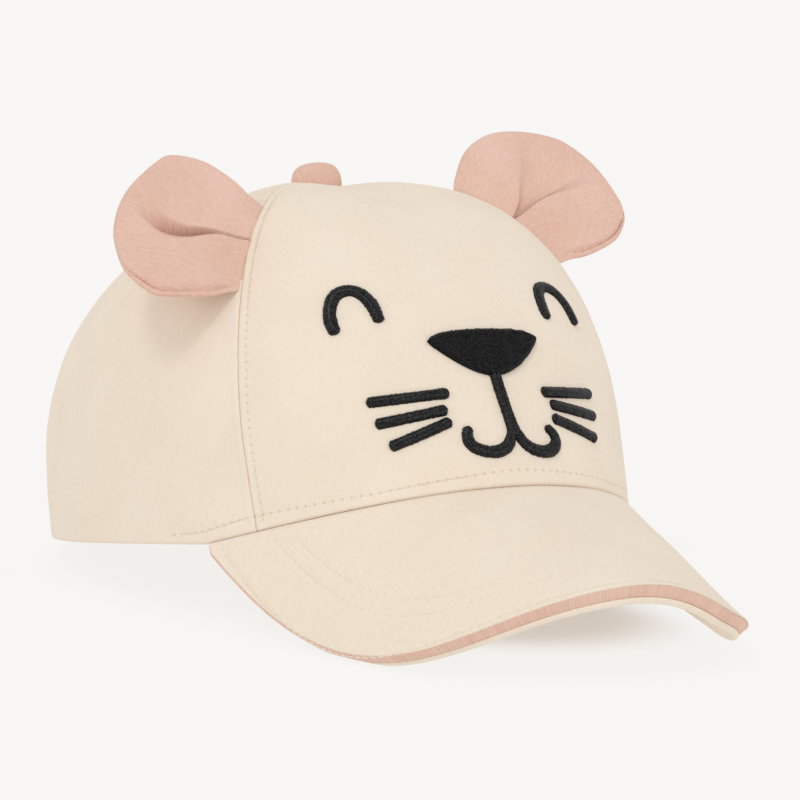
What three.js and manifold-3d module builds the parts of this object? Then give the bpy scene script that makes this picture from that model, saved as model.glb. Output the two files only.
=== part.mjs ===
import * as THREE from 'three';
import { mergeVertices } from 'three/addons/utils/BufferGeometryUtils.js';
import Module from 'manifold-3d';

// A baby's jersey cap with an embroidered animal face, two stuffed ears and a curved peak.
// Lengths are in millimetres and angles in degrees. +Z is up, the face looks towards -Y,
// and the wearer's right side is towards -X.
// Heights on the crown are measured from the level hem, and a point on the crown is named by
// its turn, the angle from the middle of the forehead towards the wearer's right.

// Crown, outside sizes
const crownHalfWidth = 72;
const crownFrontLength = 91.7;
const crownBackLength = 93;
const crownHeight = 92.2;
const widestHeight = 19.5;
const browFlare = 12;
const browFlareHeight = 35;
const frontRoundness = 1.65;
const sideRoundness = 2.5;
const backRoundness = 1.8;
const forwardSwell = 0.25;
const hemTuckIn = 0.02;

// Cloth and seams
const clothWall = 2;
const seamGap = 0.3;
const apexHoleRadius = 1.6;
const frontSeamTurn = 52;
const frontSeamLean = 5.2;
const sideSeamTurn = 125;

// Hem over the peak, and the arch at the back with its strap
const peakHalfTurn = 62.5;
const peakArchHeight = 12.7;
const backArchHalfTurn = 19;
const backArchHeight = 36;
const strapHeight = 15;
const strapThickness = 1.6;
const strapLapTurn = 6;

// Peak
const peakLength = 61.5;
const peakTopThickness = 1.6;
const peakInsertThickness = 2.2;
const peakUnderThickness = 1.5;
const peakInsertReach = 0.5;
const peakMiddleSlope = 22.8;
const peakSideSlope = 24.1;
const peakSplay = 0.07;
const peakEndShare = 0.985;
const peakSquareness = 7.4;
const peakCornerRoundness = 0.8;

// Button
const buttonRadius = 6.6;
const buttonHeight = 6.6;

// Ears, and how each of the two is set: its base's two ends as shares of the crown's height,
// where it points and how its width fans out
const earLength = 35.4;
const earUpperWidth = 26.4;
const earLowerWidth = 20.7;
const earThickness = 6;
const earRimThickness = 1.6;
const earCupDepth = 4;
const earTuckDepth = 5;
const earSettings = [
  { name: 'ear_right', mirror: 1, low: 0.654, high: 0.876, backward: 0.29, upward: 0.19, fan: 0.11 },
  { name: 'ear_left', mirror: -1, low: 0.727, high: 0.92, backward: 0.21, upward: 0.40, fan: 0.23 },
];

// Embroidery: stroke sizes, and the face as rows of a turn in degrees and a share of the crown's height
const eyeStroke = 3.6;
const mouthStroke = 2.9;
const whiskerStroke = 3.1;
const strokeHeight = 1.3;
const noseHeight = 1.8;
const eyeRows = [
  { turn: 34.8, up: 0.522 },
  { turn: 35.1, up: 0.575 },
  { turn: 33.2, up: 0.613 },
  { turn: 29.7, up: 0.624 },
  { turn: 26.1, up: 0.608 },
  { turn: 24.3, up: 0.582 },
  { turn: 23.8, up: 0.547 },
];
const noseRows = [
  { turn: 0, up: 0.516 },
  { turn: 5.6, up: 0.515 },
  { turn: 11.0, up: 0.512 },
  { turn: 14.4, up: 0.492 },
  { turn: 11.8, up: 0.463 },
  { turn: 7.8, up: 0.434 },
  { turn: 3.6, up: 0.415 },
  { turn: 0, up: 0.407 },
];
const lipRows = [
  { turn: 0, up: 0.400 },
  { turn: 0, up: 0.347 },
  { turn: 0, up: 0.262 },
];
const mouthRows = [
  { turn: 9.4, up: 0.280 },
  { turn: 10.8, up: 0.261 },
  { turn: 10.2, up: 0.239 },
  { turn: 7.6, up: 0.221 },
  { turn: 4.4, up: 0.222 },
  { turn: 1.7, up: 0.239 },
  { turn: 0.2, up: 0.268 },
];
const whiskerRows = [
  { outerTurn: 28.3, outerUp: 0.356, innerTurn: 12.8, innerUp: 0.367 },
  { outerTurn: 27.4, outerUp: 0.304, innerTurn: 13.6, innerUp: 0.328 },
  { outerTurn: 25.9, outerUp: 0.250, innerTurn: 13.3, innerUp: 0.299 },
];

// Where the cap rests, its cloth is pressed flat by this much
const restPress = 0.6;

const cream = new THREE.Color(0.83, 0.74, 0.62);
const pink = new THREE.Color(0.74, 0.47, 0.38);
const black = new THREE.Color(0.02, 0.02, 0.022);

const radians = THREE.MathUtils.degToRad;
const degrees = THREE.MathUtils.radToDeg;
const up = new THREE.Vector3(0, 0, 1);

function clamp01(value) {
  return Math.min(1, Math.max(0, value));
}

function span(low, high, count) {
  return Array.from({ length: count + 1 }, (_, i) => low + (high - low) * i / count);
}

// The crown's outer surface, raised by lift along its normal

function roundness(turn) {
  const c = Math.cos(radians(turn));
  return sideRoundness + ((c > 0 ? frontRoundness : backRoundness) - sideRoundness) * c * c;
}

function crownPoint(turn, height) {
  const c = Math.cos(radians(turn));
  const power = roundness(turn);
  const rise = clamp01((height - widestHeight) / (crownHeight - widestHeight));
  const drop = clamp01((widestHeight - height) / widestHeight);
  const dome = Math.pow(Math.max(0, 1 - Math.pow(rise, power)), 1 / power);
  const narrowing = 1 - hemTuckIn * (1 - c) / 2 * drop * drop;
  const reach = dome * narrowing;
  const halfLength = (crownFrontLength + crownBackLength) / 2 + (crownFrontLength - crownBackLength) / 2 * c;
  const along = -halfLength * c * reach;
  const flare = browFlare * Math.pow(clamp01(1 - height / browFlareHeight), 1.5) * Math.max(0, c) ** 2;
  const swell = -forwardSwell * along * (height / crownHeight) ** 2;
  return new THREE.Vector3(-crownHalfWidth * Math.sin(radians(turn)) * reach, along - flare, height + swell);
}

function crownNormal(turn, height) {
  const turnStep = 0.2;
  const heightStep = crownHeight / 500;
  const low = Math.max(0, Math.min(height, crownHeight * 0.999) - heightStep);
  const around = crownPoint(turn + turnStep, low).sub(crownPoint(turn - turnStep, low));
  const climb = crownPoint(turn, low + heightStep).sub(crownPoint(turn, low));
  return climb.cross(around).normalize();
}

function crownAt(turn, height, lift = 0) {
  return crownPoint(turn, height).addScaledVector(crownNormal(turn, height), lift);
}

// Climb runs from -1 at the hem's level, through 0 at the widest height, to 1 at the apex,
// so that even steps of it follow the dome

function heightOfClimb(turn, climb) {
  if (climb < 0) {
    return widestHeight * (1 + climb);
  }
  const rise = Math.pow(Math.sin(climb * Math.PI / 2), 2 / roundness(turn));
  return widestHeight + (crownHeight - widestHeight) * rise;
}

function climbOfHeight(turn, height) {
  if (height < widestHeight) {
    return height / widestHeight - 1;
  }
  const rise = clamp01((height - widestHeight) / (crownHeight - widestHeight));
  return Math.asin(Math.pow(rise, roundness(turn) / 2)) / (Math.PI / 2);
}

function frontSeam(height) {
  return frontSeamTurn + frontSeamLean * Math.pow(height / crownHeight, 1.3);
}

function hemHeight(turn) {
  const away = Math.abs(turn);
  if (away < peakHalfTurn) {
    return peakArchHeight * Math.cos(Math.PI / 2 * away / peakHalfTurn);
  }
  const fromBack = Math.abs(180 - away) / backArchHalfTurn;
  return fromBack < 1 ? backArchHeight * Math.sqrt(1 - fromBack * fromBack) : 0;
}

// Closed solids between two grids of points, and along a row of rings

function solidFromTriangles(points, triangles) {
  const geometry = new THREE.BufferGeometry();
  geometry.setAttribute('position', new THREE.Float32BufferAttribute(points.flatMap((p) => [p.x, p.y, p.z]), 3));
  geometry.setIndex(triangles);
  return facingOut(geometry);
}

function signedVolume(geometry) {
  const position = geometry.getAttribute('position');
  const index = geometry.getIndex();
  const corner = [0, 1, 2].map(() => new THREE.Vector3());
  let volume = 0;
  for (let i = 0; i < index.count; i += 3) {
    corner.forEach((p, k) => p.fromBufferAttribute(position, index.getX(i + k)));
    volume += corner[0].dot(corner[1].clone().cross(corner[2])) / 6;
  }
  return volume;
}

function facingOut(geometry) {
  if (signedVolume(geometry) < 0) {
    geometry.setIndex(Array.from(geometry.getIndex().array).reverse());
  }
  return geometry;
}

function slab(outer, inner) {
  const columns = outer.length;
  const rows = outer[0].length;
  const layer = columns * rows;
  const at = (side, i, j) => side * layer + i * rows + j;
  const triangles = [];
  const quad = (a, b, c, d) => triangles.push(a, b, c, a, c, d);
  for (let i = 0; i + 1 < columns; i += 1) {
    for (let j = 0; j + 1 < rows; j += 1) {
      quad(at(0, i, j), at(0, i + 1, j), at(0, i + 1, j + 1), at(0, i, j + 1));
      quad(at(1, i, j), at(1, i, j + 1), at(1, i + 1, j + 1), at(1, i + 1, j));
    }
    quad(at(0, i, 0), at(1, i, 0), at(1, i + 1, 0), at(0, i + 1, 0));
    quad(at(0, i, rows - 1), at(0, i + 1, rows - 1), at(1, i + 1, rows - 1), at(1, i, rows - 1));
  }
  for (let j = 0; j + 1 < rows; j += 1) {
    quad(at(0, 0, j), at(0, 0, j + 1), at(1, 0, j + 1), at(1, 0, j));
    quad(at(0, columns - 1, j), at(1, columns - 1, j), at(1, columns - 1, j + 1), at(0, columns - 1, j + 1));
  }
  return solidFromTriangles([...outer.flat(), ...inner.flat()], triangles);
}

function solidFromRings(rings) {
  const sides = rings[0].length;
  const triangles = [];
  for (let i = 0; i + 1 < rings.length; i += 1) {
    for (let j = 0; j < sides; j += 1) {
      const next = (j + 1) % sides;
      const low = i * sides;
      const high = low + sides;
      triangles.push(low + j, low + next, high + next, low + j, high + next, high + j);
    }
  }
  const last = (rings.length - 1) * sides;
  for (let j = 1; j + 1 < sides; j += 1) {
    triangles.push(0, j + 1, j, last, last + j, last + j + 1);
  }
  return solidFromTriangles(rings.flat(), triangles);
}

// Crown panels: walls from one seam to the next, each held back by half the seam's gap.
// Their rows share one level above the hem's arches, so that the arches bend only the rows below it.

const levelHeight = backArchHeight + 7;
const lowerRows = 5;
const upperRows = 10;

function panelHeights(turn) {
  const lower = span(hemHeight(turn), levelHeight, lowerRows);
  const topClimb = 1 - apexHoleRadius / crownHalfWidth * 2 / Math.PI;
  const upper = span(climbOfHeight(turn, levelHeight), topClimb, upperRows);
  return [...lower, ...upper.slice(1).map((climb) => heightOfClimb(turn, climb))];
}

function crownPanel(fromTurn, toTurn, columns) {
  const outer = [];
  const inner = [];
  for (const share of columns) {
    const column = { outer: [], inner: [] };
    const footTurn = fromTurn(0) + (toTurn(0) - fromTurn(0)) * share;
    for (const height of panelHeights(footTurn)) {
      const radius = Math.hypot(crownPoint(footTurn, height).x, crownPoint(footTurn, height).y);
      const inset = degrees(seamGap / 2 / radius);
      const low = fromTurn(height) + inset;
      const high = toTurn(height) - inset;
      const turn = low + (high - low) * share;
      column.outer.push(crownAt(turn, height));
      column.inner.push(crownAt(turn, height, -clothWall));
    }
    outer.push(column.outer);
    inner.push(column.inner);
  }
  return slab(outer, inner);
}

const evenShares = (count) => span(0, 1, count);

// The back panel's columns crowd towards the steep end of the arch
function backShares(archShare, sideCount, archCount) {
  const side = span(0, 1 - archShare, sideCount).slice(0, -1);
  const arch = span(0, 1, archCount).map((s) => 1 - archShare * Math.cos(Math.PI / 2 * s));
  return [...side, ...arch];
}

function crownPanels() {
  const backShare = backArchHalfTurn / (180 - sideSeamTurn);
  const back = backShares(backShare, 6, 7);
  const backMirrored = back.map((s) => 1 - s).reverse();
  const seamAt = (turn) => () => turn;
  const mirrored = (seam) => (height) => -seam(height);
  return {
    front_panel: crownPanel(mirrored(frontSeam), frontSeam, evenShares(24)),
    side_panel_right: crownPanel(frontSeam, seamAt(sideSeamTurn), evenShares(13)),
    side_panel_left: crownPanel(seamAt(-sideSeamTurn), mirrored(frontSeam), evenShares(13)),
    back_panel_right: crownPanel(seamAt(sideSeamTurn), seamAt(180), back),
    back_panel_left: crownPanel(seamAt(-180), seamAt(-sideSeamTurn), backMirrored),
  };
}

// Back strap: a plain strip inside the panels, across the foot of the arch

function backStrap() {
  const halfTurn = backArchHalfTurn + strapLapTurn;
  const face = (depth) => span(180 - halfTurn, 180 + halfTurn, 14).map(
    (turn) => span(0, strapHeight, 3).map((height) => crownAt(turn, height, -depth)),
  );
  const outerDepth = clothWall + seamGap;
  return slab(face(outerDepth), face(outerDepth + strapThickness));
}

// Peak: three layers stacked under one curved sheet, each tucked in under the crown's hem

function peakPoint(share, distance) {
  const turn = share * peakHalfTurn;
  const root = crownPoint(turn, hemHeight(turn)).addScaledVector(up, -seamGap);
  const slope = radians(peakMiddleSlope + peakSideSlope * share * share);
  const heading = radians(peakSplay * turn);
  const direction = new THREE.Vector3(
    -Math.cos(slope) * Math.sin(heading),
    -Math.cos(slope) * Math.cos(heading),
    -Math.sin(slope),
  );
  return root.addScaledVector(direction, distance);
}

function peakNormal(share, distance) {
  const shareStep = 0.004;
  const around = peakPoint(share + shareStep, distance).sub(peakPoint(share - shareStep, distance));
  const outwards = peakPoint(share, distance + 1).sub(peakPoint(share, distance));
  return around.cross(outwards).normalize();
}

function peakReach(share) {
  return peakLength * Math.pow(1 - Math.pow(Math.abs(share), peakSquareness), 1 / peakCornerRoundness);
}

function peakLayer(depthTop, thickness, extra) {
  const columns = span(-1, 1, 28).map((s) => peakEndShare * Math.sin(Math.PI / 2 * s));
  const face = (depth) => columns.map((share) => {
    const turn = share * peakHalfTurn;
    const seat = crownAt(turn, hemHeight(turn), -clothWall)
      .addScaledVector(up, -seamGap)
      .addScaledVector(peakNormal(share, 0), -depth);
    const outer = span(0, peakReach(share) + extra, 5).map((distance) => (
      peakPoint(share, distance).addScaledVector(peakNormal(share, distance), -depth)
    ));
    return [seat, ...outer];
  });
  return slab(face(depthTop), face(depthTop + thickness));
}

function peakLayers() {
  const insertDepth = peakTopThickness + seamGap;
  const underDepth = insertDepth + peakInsertThickness + seamGap;
  return {
    peak_top: peakLayer(0, peakTopThickness, 0),
    peak_insert: peakLayer(insertDepth, peakInsertThickness, peakInsertReach),
    peak_under: peakLayer(underDepth, peakUnderThickness, 0),
  };
}

// Button: a domed cloth-covered disc on the apex

function button() {
  const steps = 5;
  const dome = span(0, 90, steps).map((angle) => new THREE.Vector2(
    buttonRadius * Math.cos(radians(angle)),
    buttonHeight * (0.35 + 0.65 * Math.sin(radians(angle))),
  ));
  dome[steps].x = 0;
  const foot = new THREE.Vector2(buttonRadius * 0.86, 0);
  const geometry = new THREE.LatheGeometry([new THREE.Vector2(0, 0), foot, ...dome], 16);
  geometry.deleteAttribute('normal');
  geometry.deleteAttribute('uv');
  const closed = mergeVertices(geometry, 1e-4);
  const apex = crownPoint(0, crownHeight);
  const lean = new THREE.Vector3(0, forwardSwell, 1).normalize();
  closed.rotateX(Math.PI / 2);
  closed.applyQuaternion(new THREE.Quaternion().setFromUnitVectors(up, lean));
  apex.addScaledVector(lean, seamGap);
  closed.translate(apex.x, apex.y, apex.z);
  return facingOut(closed);
}

// Embroidery: rounded strokes on the crown, along a smooth line through the rows

function facePath(rows, steps) {
  const curve = new THREE.CatmullRomCurve3(rows.map((row) => new THREE.Vector3(row.turn, row.up * 100, 0)));
  return curve.getSpacedPoints(steps).map((p) => ({ turn: p.x, height: p.y / 100 * crownHeight }));
}

function stroke(path, width) {
  const centres = path.map((p) => crownAt(p.turn, p.height, seamGap));
  const half = width / 2;
  const last = path.length - 1;
  const ring = (i, spread, advance) => {
    const normal = crownNormal(path[i].turn, path[i].height);
    const forward = centres[Math.min(i + 1, last)].clone().sub(centres[Math.max(i - 1, 0)]).normalize();
    const side = normal.clone().cross(forward).normalize();
    return [180, 135, 90, 45, 0].map((angle) => centres[i].clone()
      .addScaledVector(forward, advance * half)
      .addScaledVector(side, Math.cos(radians(angle)) * half * spread)
      .addScaledVector(normal, Math.sin(radians(angle)) * strokeHeight * spread));
  };
  const rings = [ring(0, 0.35, 0), ring(0, 0.8, 0.3)];
  for (let i = 1; i < last; i += 1) {
    rings.push(ring(i, 1, 0));
  }
  rings.push(ring(last, 0.8, -0.3), ring(last, 0.35, 0));
  return solidFromRings(rings);
}

function mirroredRows(rows) {
  return rows.map((row) => ({ turn: -row.turn, up: row.up }));
}

function eyes() {
  return {
    eye_right: stroke(facePath(eyeRows, 14), eyeStroke),
    eye_left: stroke(facePath(mirroredRows(eyeRows), 14), eyeStroke),
  };
}

function whiskers() {
  const pieces = {};
  whiskerRows.forEach((row, i) => {
    const bar = [{ turn: row.outerTurn, up: row.outerUp }, { turn: row.innerTurn, up: row.innerUp }];
    pieces[`whisker_right_${i + 1}`] = stroke(facePath(bar, 6), whiskerStroke);
    pieces[`whisker_left_${i + 1}`] = stroke(facePath(mirroredRows(bar), 6), whiskerStroke);
  });
  return pieces;
}

function nose() {
  const outline = [...noseRows, ...mirroredRows(noseRows.slice(1, -1)).reverse()];
  const middle = { turn: 0, up: (noseRows[0].up + noseRows[noseRows.length - 1].up) / 2 };
  const closed = new THREE.CatmullRomCurve3(
    outline.map((row) => new THREE.Vector3(row.turn, row.up * 100, 0)), true, 'centripetal',
  );
  const rim = closed.getSpacedPoints(28).slice(0, -1);
  const ring = (spread, lift) => rim.map((p) => crownAt(
    middle.turn + (p.x - middle.turn) * spread,
    (middle.up + (p.y / 100 - middle.up) * spread) * crownHeight,
    seamGap + lift,
  ));
  return solidFromRings([
    ring(0.5, 0),
    ring(0.98, 0),
    ring(1, noseHeight * 0.45),
    ring(0.9, noseHeight * 0.9),
    ring(0.5, noseHeight),
  ]);
}

// Ears: stuffed cups with one tuck at the base, cut to sit on the crown

const earUpperWidestAt = 0.4;
const earLowerWidestAt = 0.52;
const earTipPower = 2.2;

function earHalfWidth(baseHalf, widest, at, along) {
  if (along < at) {
    return baseHalf + (widest - baseHalf) * Math.sin(Math.PI / 2 * along / at);
  }
  const past = (along - at) / (1 - at);
  return widest * Math.pow(Math.max(0, 1 - Math.pow(past, earTipPower)), 1 / earTipPower);
}

function earSheet(setting) {
  const low = setting.low * crownHeight;
  const high = setting.high * crownHeight;
  const seamPoint = (height) => crownPoint(frontSeam(height), height);
  const middle = seamPoint((low + high) / 2);
  const baseLine = seamPoint(high).sub(seamPoint(low));
  const baseHalf = baseLine.length() / 2;
  const baseUp = baseLine.clone().normalize();
  const out = new THREE.Vector3(-1, setting.backward, setting.upward).normalize();
  const face = baseUp.clone().cross(out).normalize();
  return (across, along) => {
    const half = across > 0
      ? earHalfWidth(baseHalf, earUpperWidth, earUpperWidestAt, along)
      : earHalfWidth(baseHalf, earLowerWidth, earLowerWidestAt, along);
    const fanned = setting.fan * Math.min(1, along / 0.3);
    const sideways = baseUp.clone().add(new THREE.Vector3(-fanned, 0, fanned / 2)).normalize();
    const tuckWidth = across > earTuckAt ? 0.10 + 0.55 * along : 0.03 + 0.22 * along;
    const tuck = Math.exp(-(((across - earTuckAt) / tuckWidth) ** 2)) * Math.pow(1 - along, 0.7);
    const cup = (1 - across * across) * Math.sin(Math.PI * Math.min(1, along * 1.1));
    const bow = seamPoint(low + (high - low) * (across + 1) / 2)
      .sub(middle).addScaledVector(baseUp, -across * baseHalf);
    return {
      point: middle.clone()
        .addScaledVector(out, earLength * along)
        .addScaledVector(sideways, across * half)
        .addScaledVector(bow, (1 - along) ** 2)
        .addScaledVector(face, -earTuckDepth * tuck - earCupDepth * cup),
      face,
    };
  };
}

const earTuckAt = 0.16;
const earColumns = [-1, -0.92, -0.75, -0.5, -0.25, -0.05, 0.08, 0.16, 0.24, 0.34, 0.46, 0.6, 0.78, 0.92, 1];
const earRows = [0, 0.1, 0.22, 0.35, 0.48, 0.6, 0.72, 0.83, 0.92, 0.985];

function crownCutter() {
  const turns = span(-180, 180, 96).slice(0, -1);
  const rings = span(-1, 0.99, 28).map((climb) => turns.map((turn) => (
    crownAt(turn, heightOfClimb(turn, climb), seamGap)
  )));
  return solidFromRings(rings);
}

function ear(setting, toManifold, fromManifold) {
  const sheet = earSheet(setting);
  const face = (side) => earColumns.map((across) => earRows.map((along) => {
    const { point, face: normal } = sheet(across, along);
    const full = Math.sqrt(Math.max(0, 1 - Math.abs(across) ** 3)) * Math.sqrt(1 - along ** 4);
    const thickness = earRimThickness + (earThickness - earRimThickness) * full;
    return point.addScaledVector(normal, side * thickness / 2);
  }));
  const whole = toManifold(slab(face(1), face(-1)));
  const seated = fromManifold(whole.subtract(toManifold(crownCutter())));
  if (setting.mirror < 0) {
    seated.scale(-1, 1, 1);
  }
  return facingOut(seated);
}

// Joining and cutting closed solids

const manifold = await Module();
manifold.setup();

function toManifold(geometry) {
  const bare = new THREE.BufferGeometry();
  bare.setAttribute('position', geometry.getAttribute('position').clone());
  bare.setIndex(geometry.getIndex().clone());
  const merged = mergeVertices(bare, 1e-4);
  return new manifold.Manifold(new manifold.Mesh({
    numProp: 3,
    vertProperties: new Float32Array(merged.getAttribute('position').array),
    triVerts: new Uint32Array(merged.getIndex().array),
  }));
}

function fromManifold(solid) {
  const mesh = solid.getMesh();
  const geometry = new THREE.BufferGeometry();
  geometry.setAttribute('position', new THREE.Float32BufferAttribute(Array.from(mesh.vertProperties), 3));
  geometry.setIndex(Array.from(mesh.triVerts));
  return geometry;
}

function mouth() {
  const lip = toManifold(stroke(facePath(lipRows, 6), mouthStroke));
  const right = toManifold(stroke(facePath(mouthRows, 14), mouthStroke));
  const left = toManifold(stroke(facePath(mirroredRows(mouthRows), 14), mouthStroke));
  return fromManifold(lip.add(right).add(left));
}

function ears() {
  return Object.fromEntries(earSettings.map((setting) => [
    setting.name,
    ear(setting, toManifold, fromManifold),
  ]));
}

// The cap rests on its peak's corners and the back of its hem: the pitch that brings both level

function lowestPoint(geometries, pitch) {
  const point = new THREE.Vector3();
  const axis = new THREE.Vector3(1, 0, 0);
  let lowest = new THREE.Vector3(0, 0, Infinity);
  for (const geometry of geometries) {
    const position = geometry.getAttribute('position');
    for (let i = 0; i < position.count; i += 1) {
      point.fromBufferAttribute(position, i).applyAxisAngle(axis, pitch);
      if (point.z < lowest.z) {
        lowest = point.clone();
      }
    }
  }
  return lowest;
}

function restPitch(pieces) {
  const front = [pieces.peak_under];
  const back = [pieces.back_strap, pieces.back_panel_right, pieces.back_panel_left];
  let pitch = 0;
  for (let i = 0; i < 12; i += 1) {
    const peakFoot = lowestPoint(front, pitch);
    const hemFoot = lowestPoint(back, pitch);
    pitch += Math.atan2(peakFoot.z - hemFoot.z, hemFoot.y - peakFoot.y);
  }
  return pitch;
}

function settle(pieces) {
  const geometries = Object.values(pieces);
  const pitch = restPitch(pieces);
  const floor = lowestPoint(geometries, pitch).z + restPress;
  const box = new THREE.Box3();
  for (const geometry of geometries) {
    geometry.rotateX(pitch);
    geometry.computeBoundingBox();
    box.union(geometry.boundingBox);
  }
  const centre = box.getCenter(new THREE.Vector3());
  for (const geometry of geometries) {
    geometry.translate(-centre.x, -centre.y, -floor);
    const position = geometry.getAttribute('position');
    for (let i = 0; i < position.count; i += 1) {
      position.setZ(i, Math.max(0, position.getZ(i)));
    }
  }
}

// The cap

const pieces = {
  ...crownPanels(),
  back_strap: backStrap(),
  ...peakLayers(),
  button: button(),
  ...ears(),
  ...eyes(),
  nose: nose(),
  mouth: mouth(),
  ...whiskers(),
};
settle(pieces);

const pinkPieces = ['peak_insert', 'button', 'ear_right', 'ear_left'];
const embroidered = ['eye', 'nose', 'mouth', 'whisker'];

function pieceMaterial(name) {
  if (embroidered.some((word) => name.startsWith(word))) {
    return new THREE.MeshStandardMaterial({ color: black, roughness: 0.6, metalness: 0 });
  }
  const color = pinkPieces.includes(name) ? pink : cream;
  return new THREE.MeshStandardMaterial({ color, roughness: 0.92, metalness: 0 });
}

const cap = new THREE.Group();
for (const [name, geometry] of Object.entries(pieces)) {
  const mesh = new THREE.Mesh(geometry, pieceMaterial(name));
  mesh.name = name;
  cap.add(mesh);
}

export default cap;
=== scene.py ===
import math

import bpy
import numpy as np
from mathutils import Matrix, Vector


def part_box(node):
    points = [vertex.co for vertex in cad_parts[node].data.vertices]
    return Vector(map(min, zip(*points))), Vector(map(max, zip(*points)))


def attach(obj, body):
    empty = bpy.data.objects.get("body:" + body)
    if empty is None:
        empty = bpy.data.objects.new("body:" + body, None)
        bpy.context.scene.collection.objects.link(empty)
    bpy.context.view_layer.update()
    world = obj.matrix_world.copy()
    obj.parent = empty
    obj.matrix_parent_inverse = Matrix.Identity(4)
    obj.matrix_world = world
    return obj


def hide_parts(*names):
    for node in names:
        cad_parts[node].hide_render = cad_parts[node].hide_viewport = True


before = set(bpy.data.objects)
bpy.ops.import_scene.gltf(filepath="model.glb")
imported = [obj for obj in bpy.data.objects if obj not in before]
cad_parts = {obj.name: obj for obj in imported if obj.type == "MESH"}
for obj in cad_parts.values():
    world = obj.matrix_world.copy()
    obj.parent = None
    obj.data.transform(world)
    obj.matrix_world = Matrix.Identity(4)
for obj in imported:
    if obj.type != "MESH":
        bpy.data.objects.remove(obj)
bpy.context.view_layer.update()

rng = np.random.default_rng(7)

# A baby's jersey cap with an animal face. Shapes are worked out in millimetres in the crown's own
# frame, where the hem is level, and place() turns and moves them to where the cap rests, in metres.
# A point on the crown has a turn, in degrees from the forehead towards the wearer's right, and a
# height above the hem.

MM = 0.001

# Crown, as in the part
HALF_WIDTH = 72.0
FRONT_LENGTH = 91.7
BACK_LENGTH = 93.0
CROWN_HEIGHT = 92.2
WIDEST_HEIGHT = 19.5
BROW_FLARE = 12.0
BROW_FLARE_HEIGHT = 35.0
FRONT_ROUNDNESS = 1.65
SIDE_ROUNDNESS = 2.5
BACK_ROUNDNESS = 1.8
FORWARD_SWELL = 0.25
HEM_TUCK_IN = 0.02
FRONT_SEAM_TURN = 52.0
FRONT_SEAM_LEAN = 5.2
SIDE_SEAM_TURN = 125.0
PEAK_HALF_TURN = 62.5
PEAK_ARCH_HEIGHT = 12.7
BACK_ARCH_HALF_TURN = 19.0
BACK_ARCH_HEIGHT = 36.0
REST_PITCH = math.radians(-8.595)

# Cloth
CLOTH_WALL = 2.0
SEAM_ROLL = 0.55
HEM_ROLL = 0.9
CLOTH_STEP = 1.7
EDGE_STEPS = (0.0, 0.1, 0.25, 0.45, 0.7, 1.0, 1.5, 2.1, 2.9)
APEX_CLIMB = 0.986
NO_ROW = 90.0
LEVEL_HEIGHT = 50.0
RIB_PITCH = 0.75
COURSE_PITCH = 0.62

# Topstitching
SEAM_STITCH = 2.15
HEM_STITCH = 2.47
STITCH_WIDTH = 0.42
SEAM_ROW_OFFSET = 2.2


# The crown's surface

def shape_power(turn):
    c = np.cos(np.radians(turn))
    end = np.where(c > 0, FRONT_ROUNDNESS, BACK_ROUNDNESS)
    return SIDE_ROUNDNESS + (end - SIDE_ROUNDNESS) * c * c


def crown_point(turn, height):
    turn, height = np.broadcast_arrays(np.asarray(turn, float), np.asarray(height, float))
    c = np.cos(np.radians(turn))
    power = shape_power(turn)
    rise = np.clip((height - WIDEST_HEIGHT) / (CROWN_HEIGHT - WIDEST_HEIGHT), 0, 1)
    drop = np.clip((WIDEST_HEIGHT - height) / WIDEST_HEIGHT, 0, 1)
    dome = np.maximum(0, 1 - rise ** power) ** (1 / power)
    reach = dome * (1 - HEM_TUCK_IN * (1 - c) / 2 * drop * drop)
    half_length = (FRONT_LENGTH + BACK_LENGTH) / 2 + (FRONT_LENGTH - BACK_LENGTH) / 2 * c
    along = -half_length * c * reach
    flare = BROW_FLARE * np.clip(1 - height / BROW_FLARE_HEIGHT, 0, 1) ** 1.5 * np.maximum(0, c) ** 2
    swell = -FORWARD_SWELL * along * (height / CROWN_HEIGHT) ** 2
    side = -HALF_WIDTH * np.sin(np.radians(turn)) * reach
    return np.stack([side, along - flare, height + swell], -1)


def unit(vectors):
    return vectors / np.maximum(np.linalg.norm(vectors, axis=-1, keepdims=True), 1e-12)


def crown_normal(turn, height):
    low = np.clip(np.minimum(height, CROWN_HEIGHT * 0.999) - 0.18, 0, None)
    around = crown_point(turn + 0.2, low) - crown_point(turn - 0.2, low)
    climb = crown_point(turn, low + 0.18) - crown_point(turn, low)
    return unit(np.cross(climb, around))


def crown_at(turn, height, lift=0.0):
    turn, height = np.broadcast_arrays(np.asarray(turn, float), np.asarray(height, float))
    return crown_point(turn, height) + crown_normal(turn, height) * np.asarray(lift, float)[..., None]


def height_of_climb(turn, climb):
    rise = np.sin(np.clip(climb, 0, 1) * math.pi / 2) ** (2 / shape_power(turn))
    return WIDEST_HEIGHT + (CROWN_HEIGHT - WIDEST_HEIGHT) * rise


def climb_of_height(turn, height):
    rise = np.clip((height - WIDEST_HEIGHT) / (CROWN_HEIGHT - WIDEST_HEIGHT), 0, 1)
    return np.arcsin(rise ** (shape_power(turn) / 2)) / (math.pi / 2)


def front_seam(height):
    return FRONT_SEAM_TURN + FRONT_SEAM_LEAN * (np.asarray(height, float) / CROWN_HEIGHT) ** 1.3


def hem_height(turn):
    away = np.abs(np.asarray(turn, float))
    over_peak = PEAK_ARCH_HEIGHT * np.cos(math.pi / 2 * np.minimum(away / PEAK_HALF_TURN, 1))
    from_back = np.minimum(np.abs(180 - away) / BACK_ARCH_HALF_TURN, 1)
    return over_peak + BACK_ARCH_HEIGHT * np.sqrt(1 - from_back ** 2)


# From the crown's frame to where the cap rests

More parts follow.
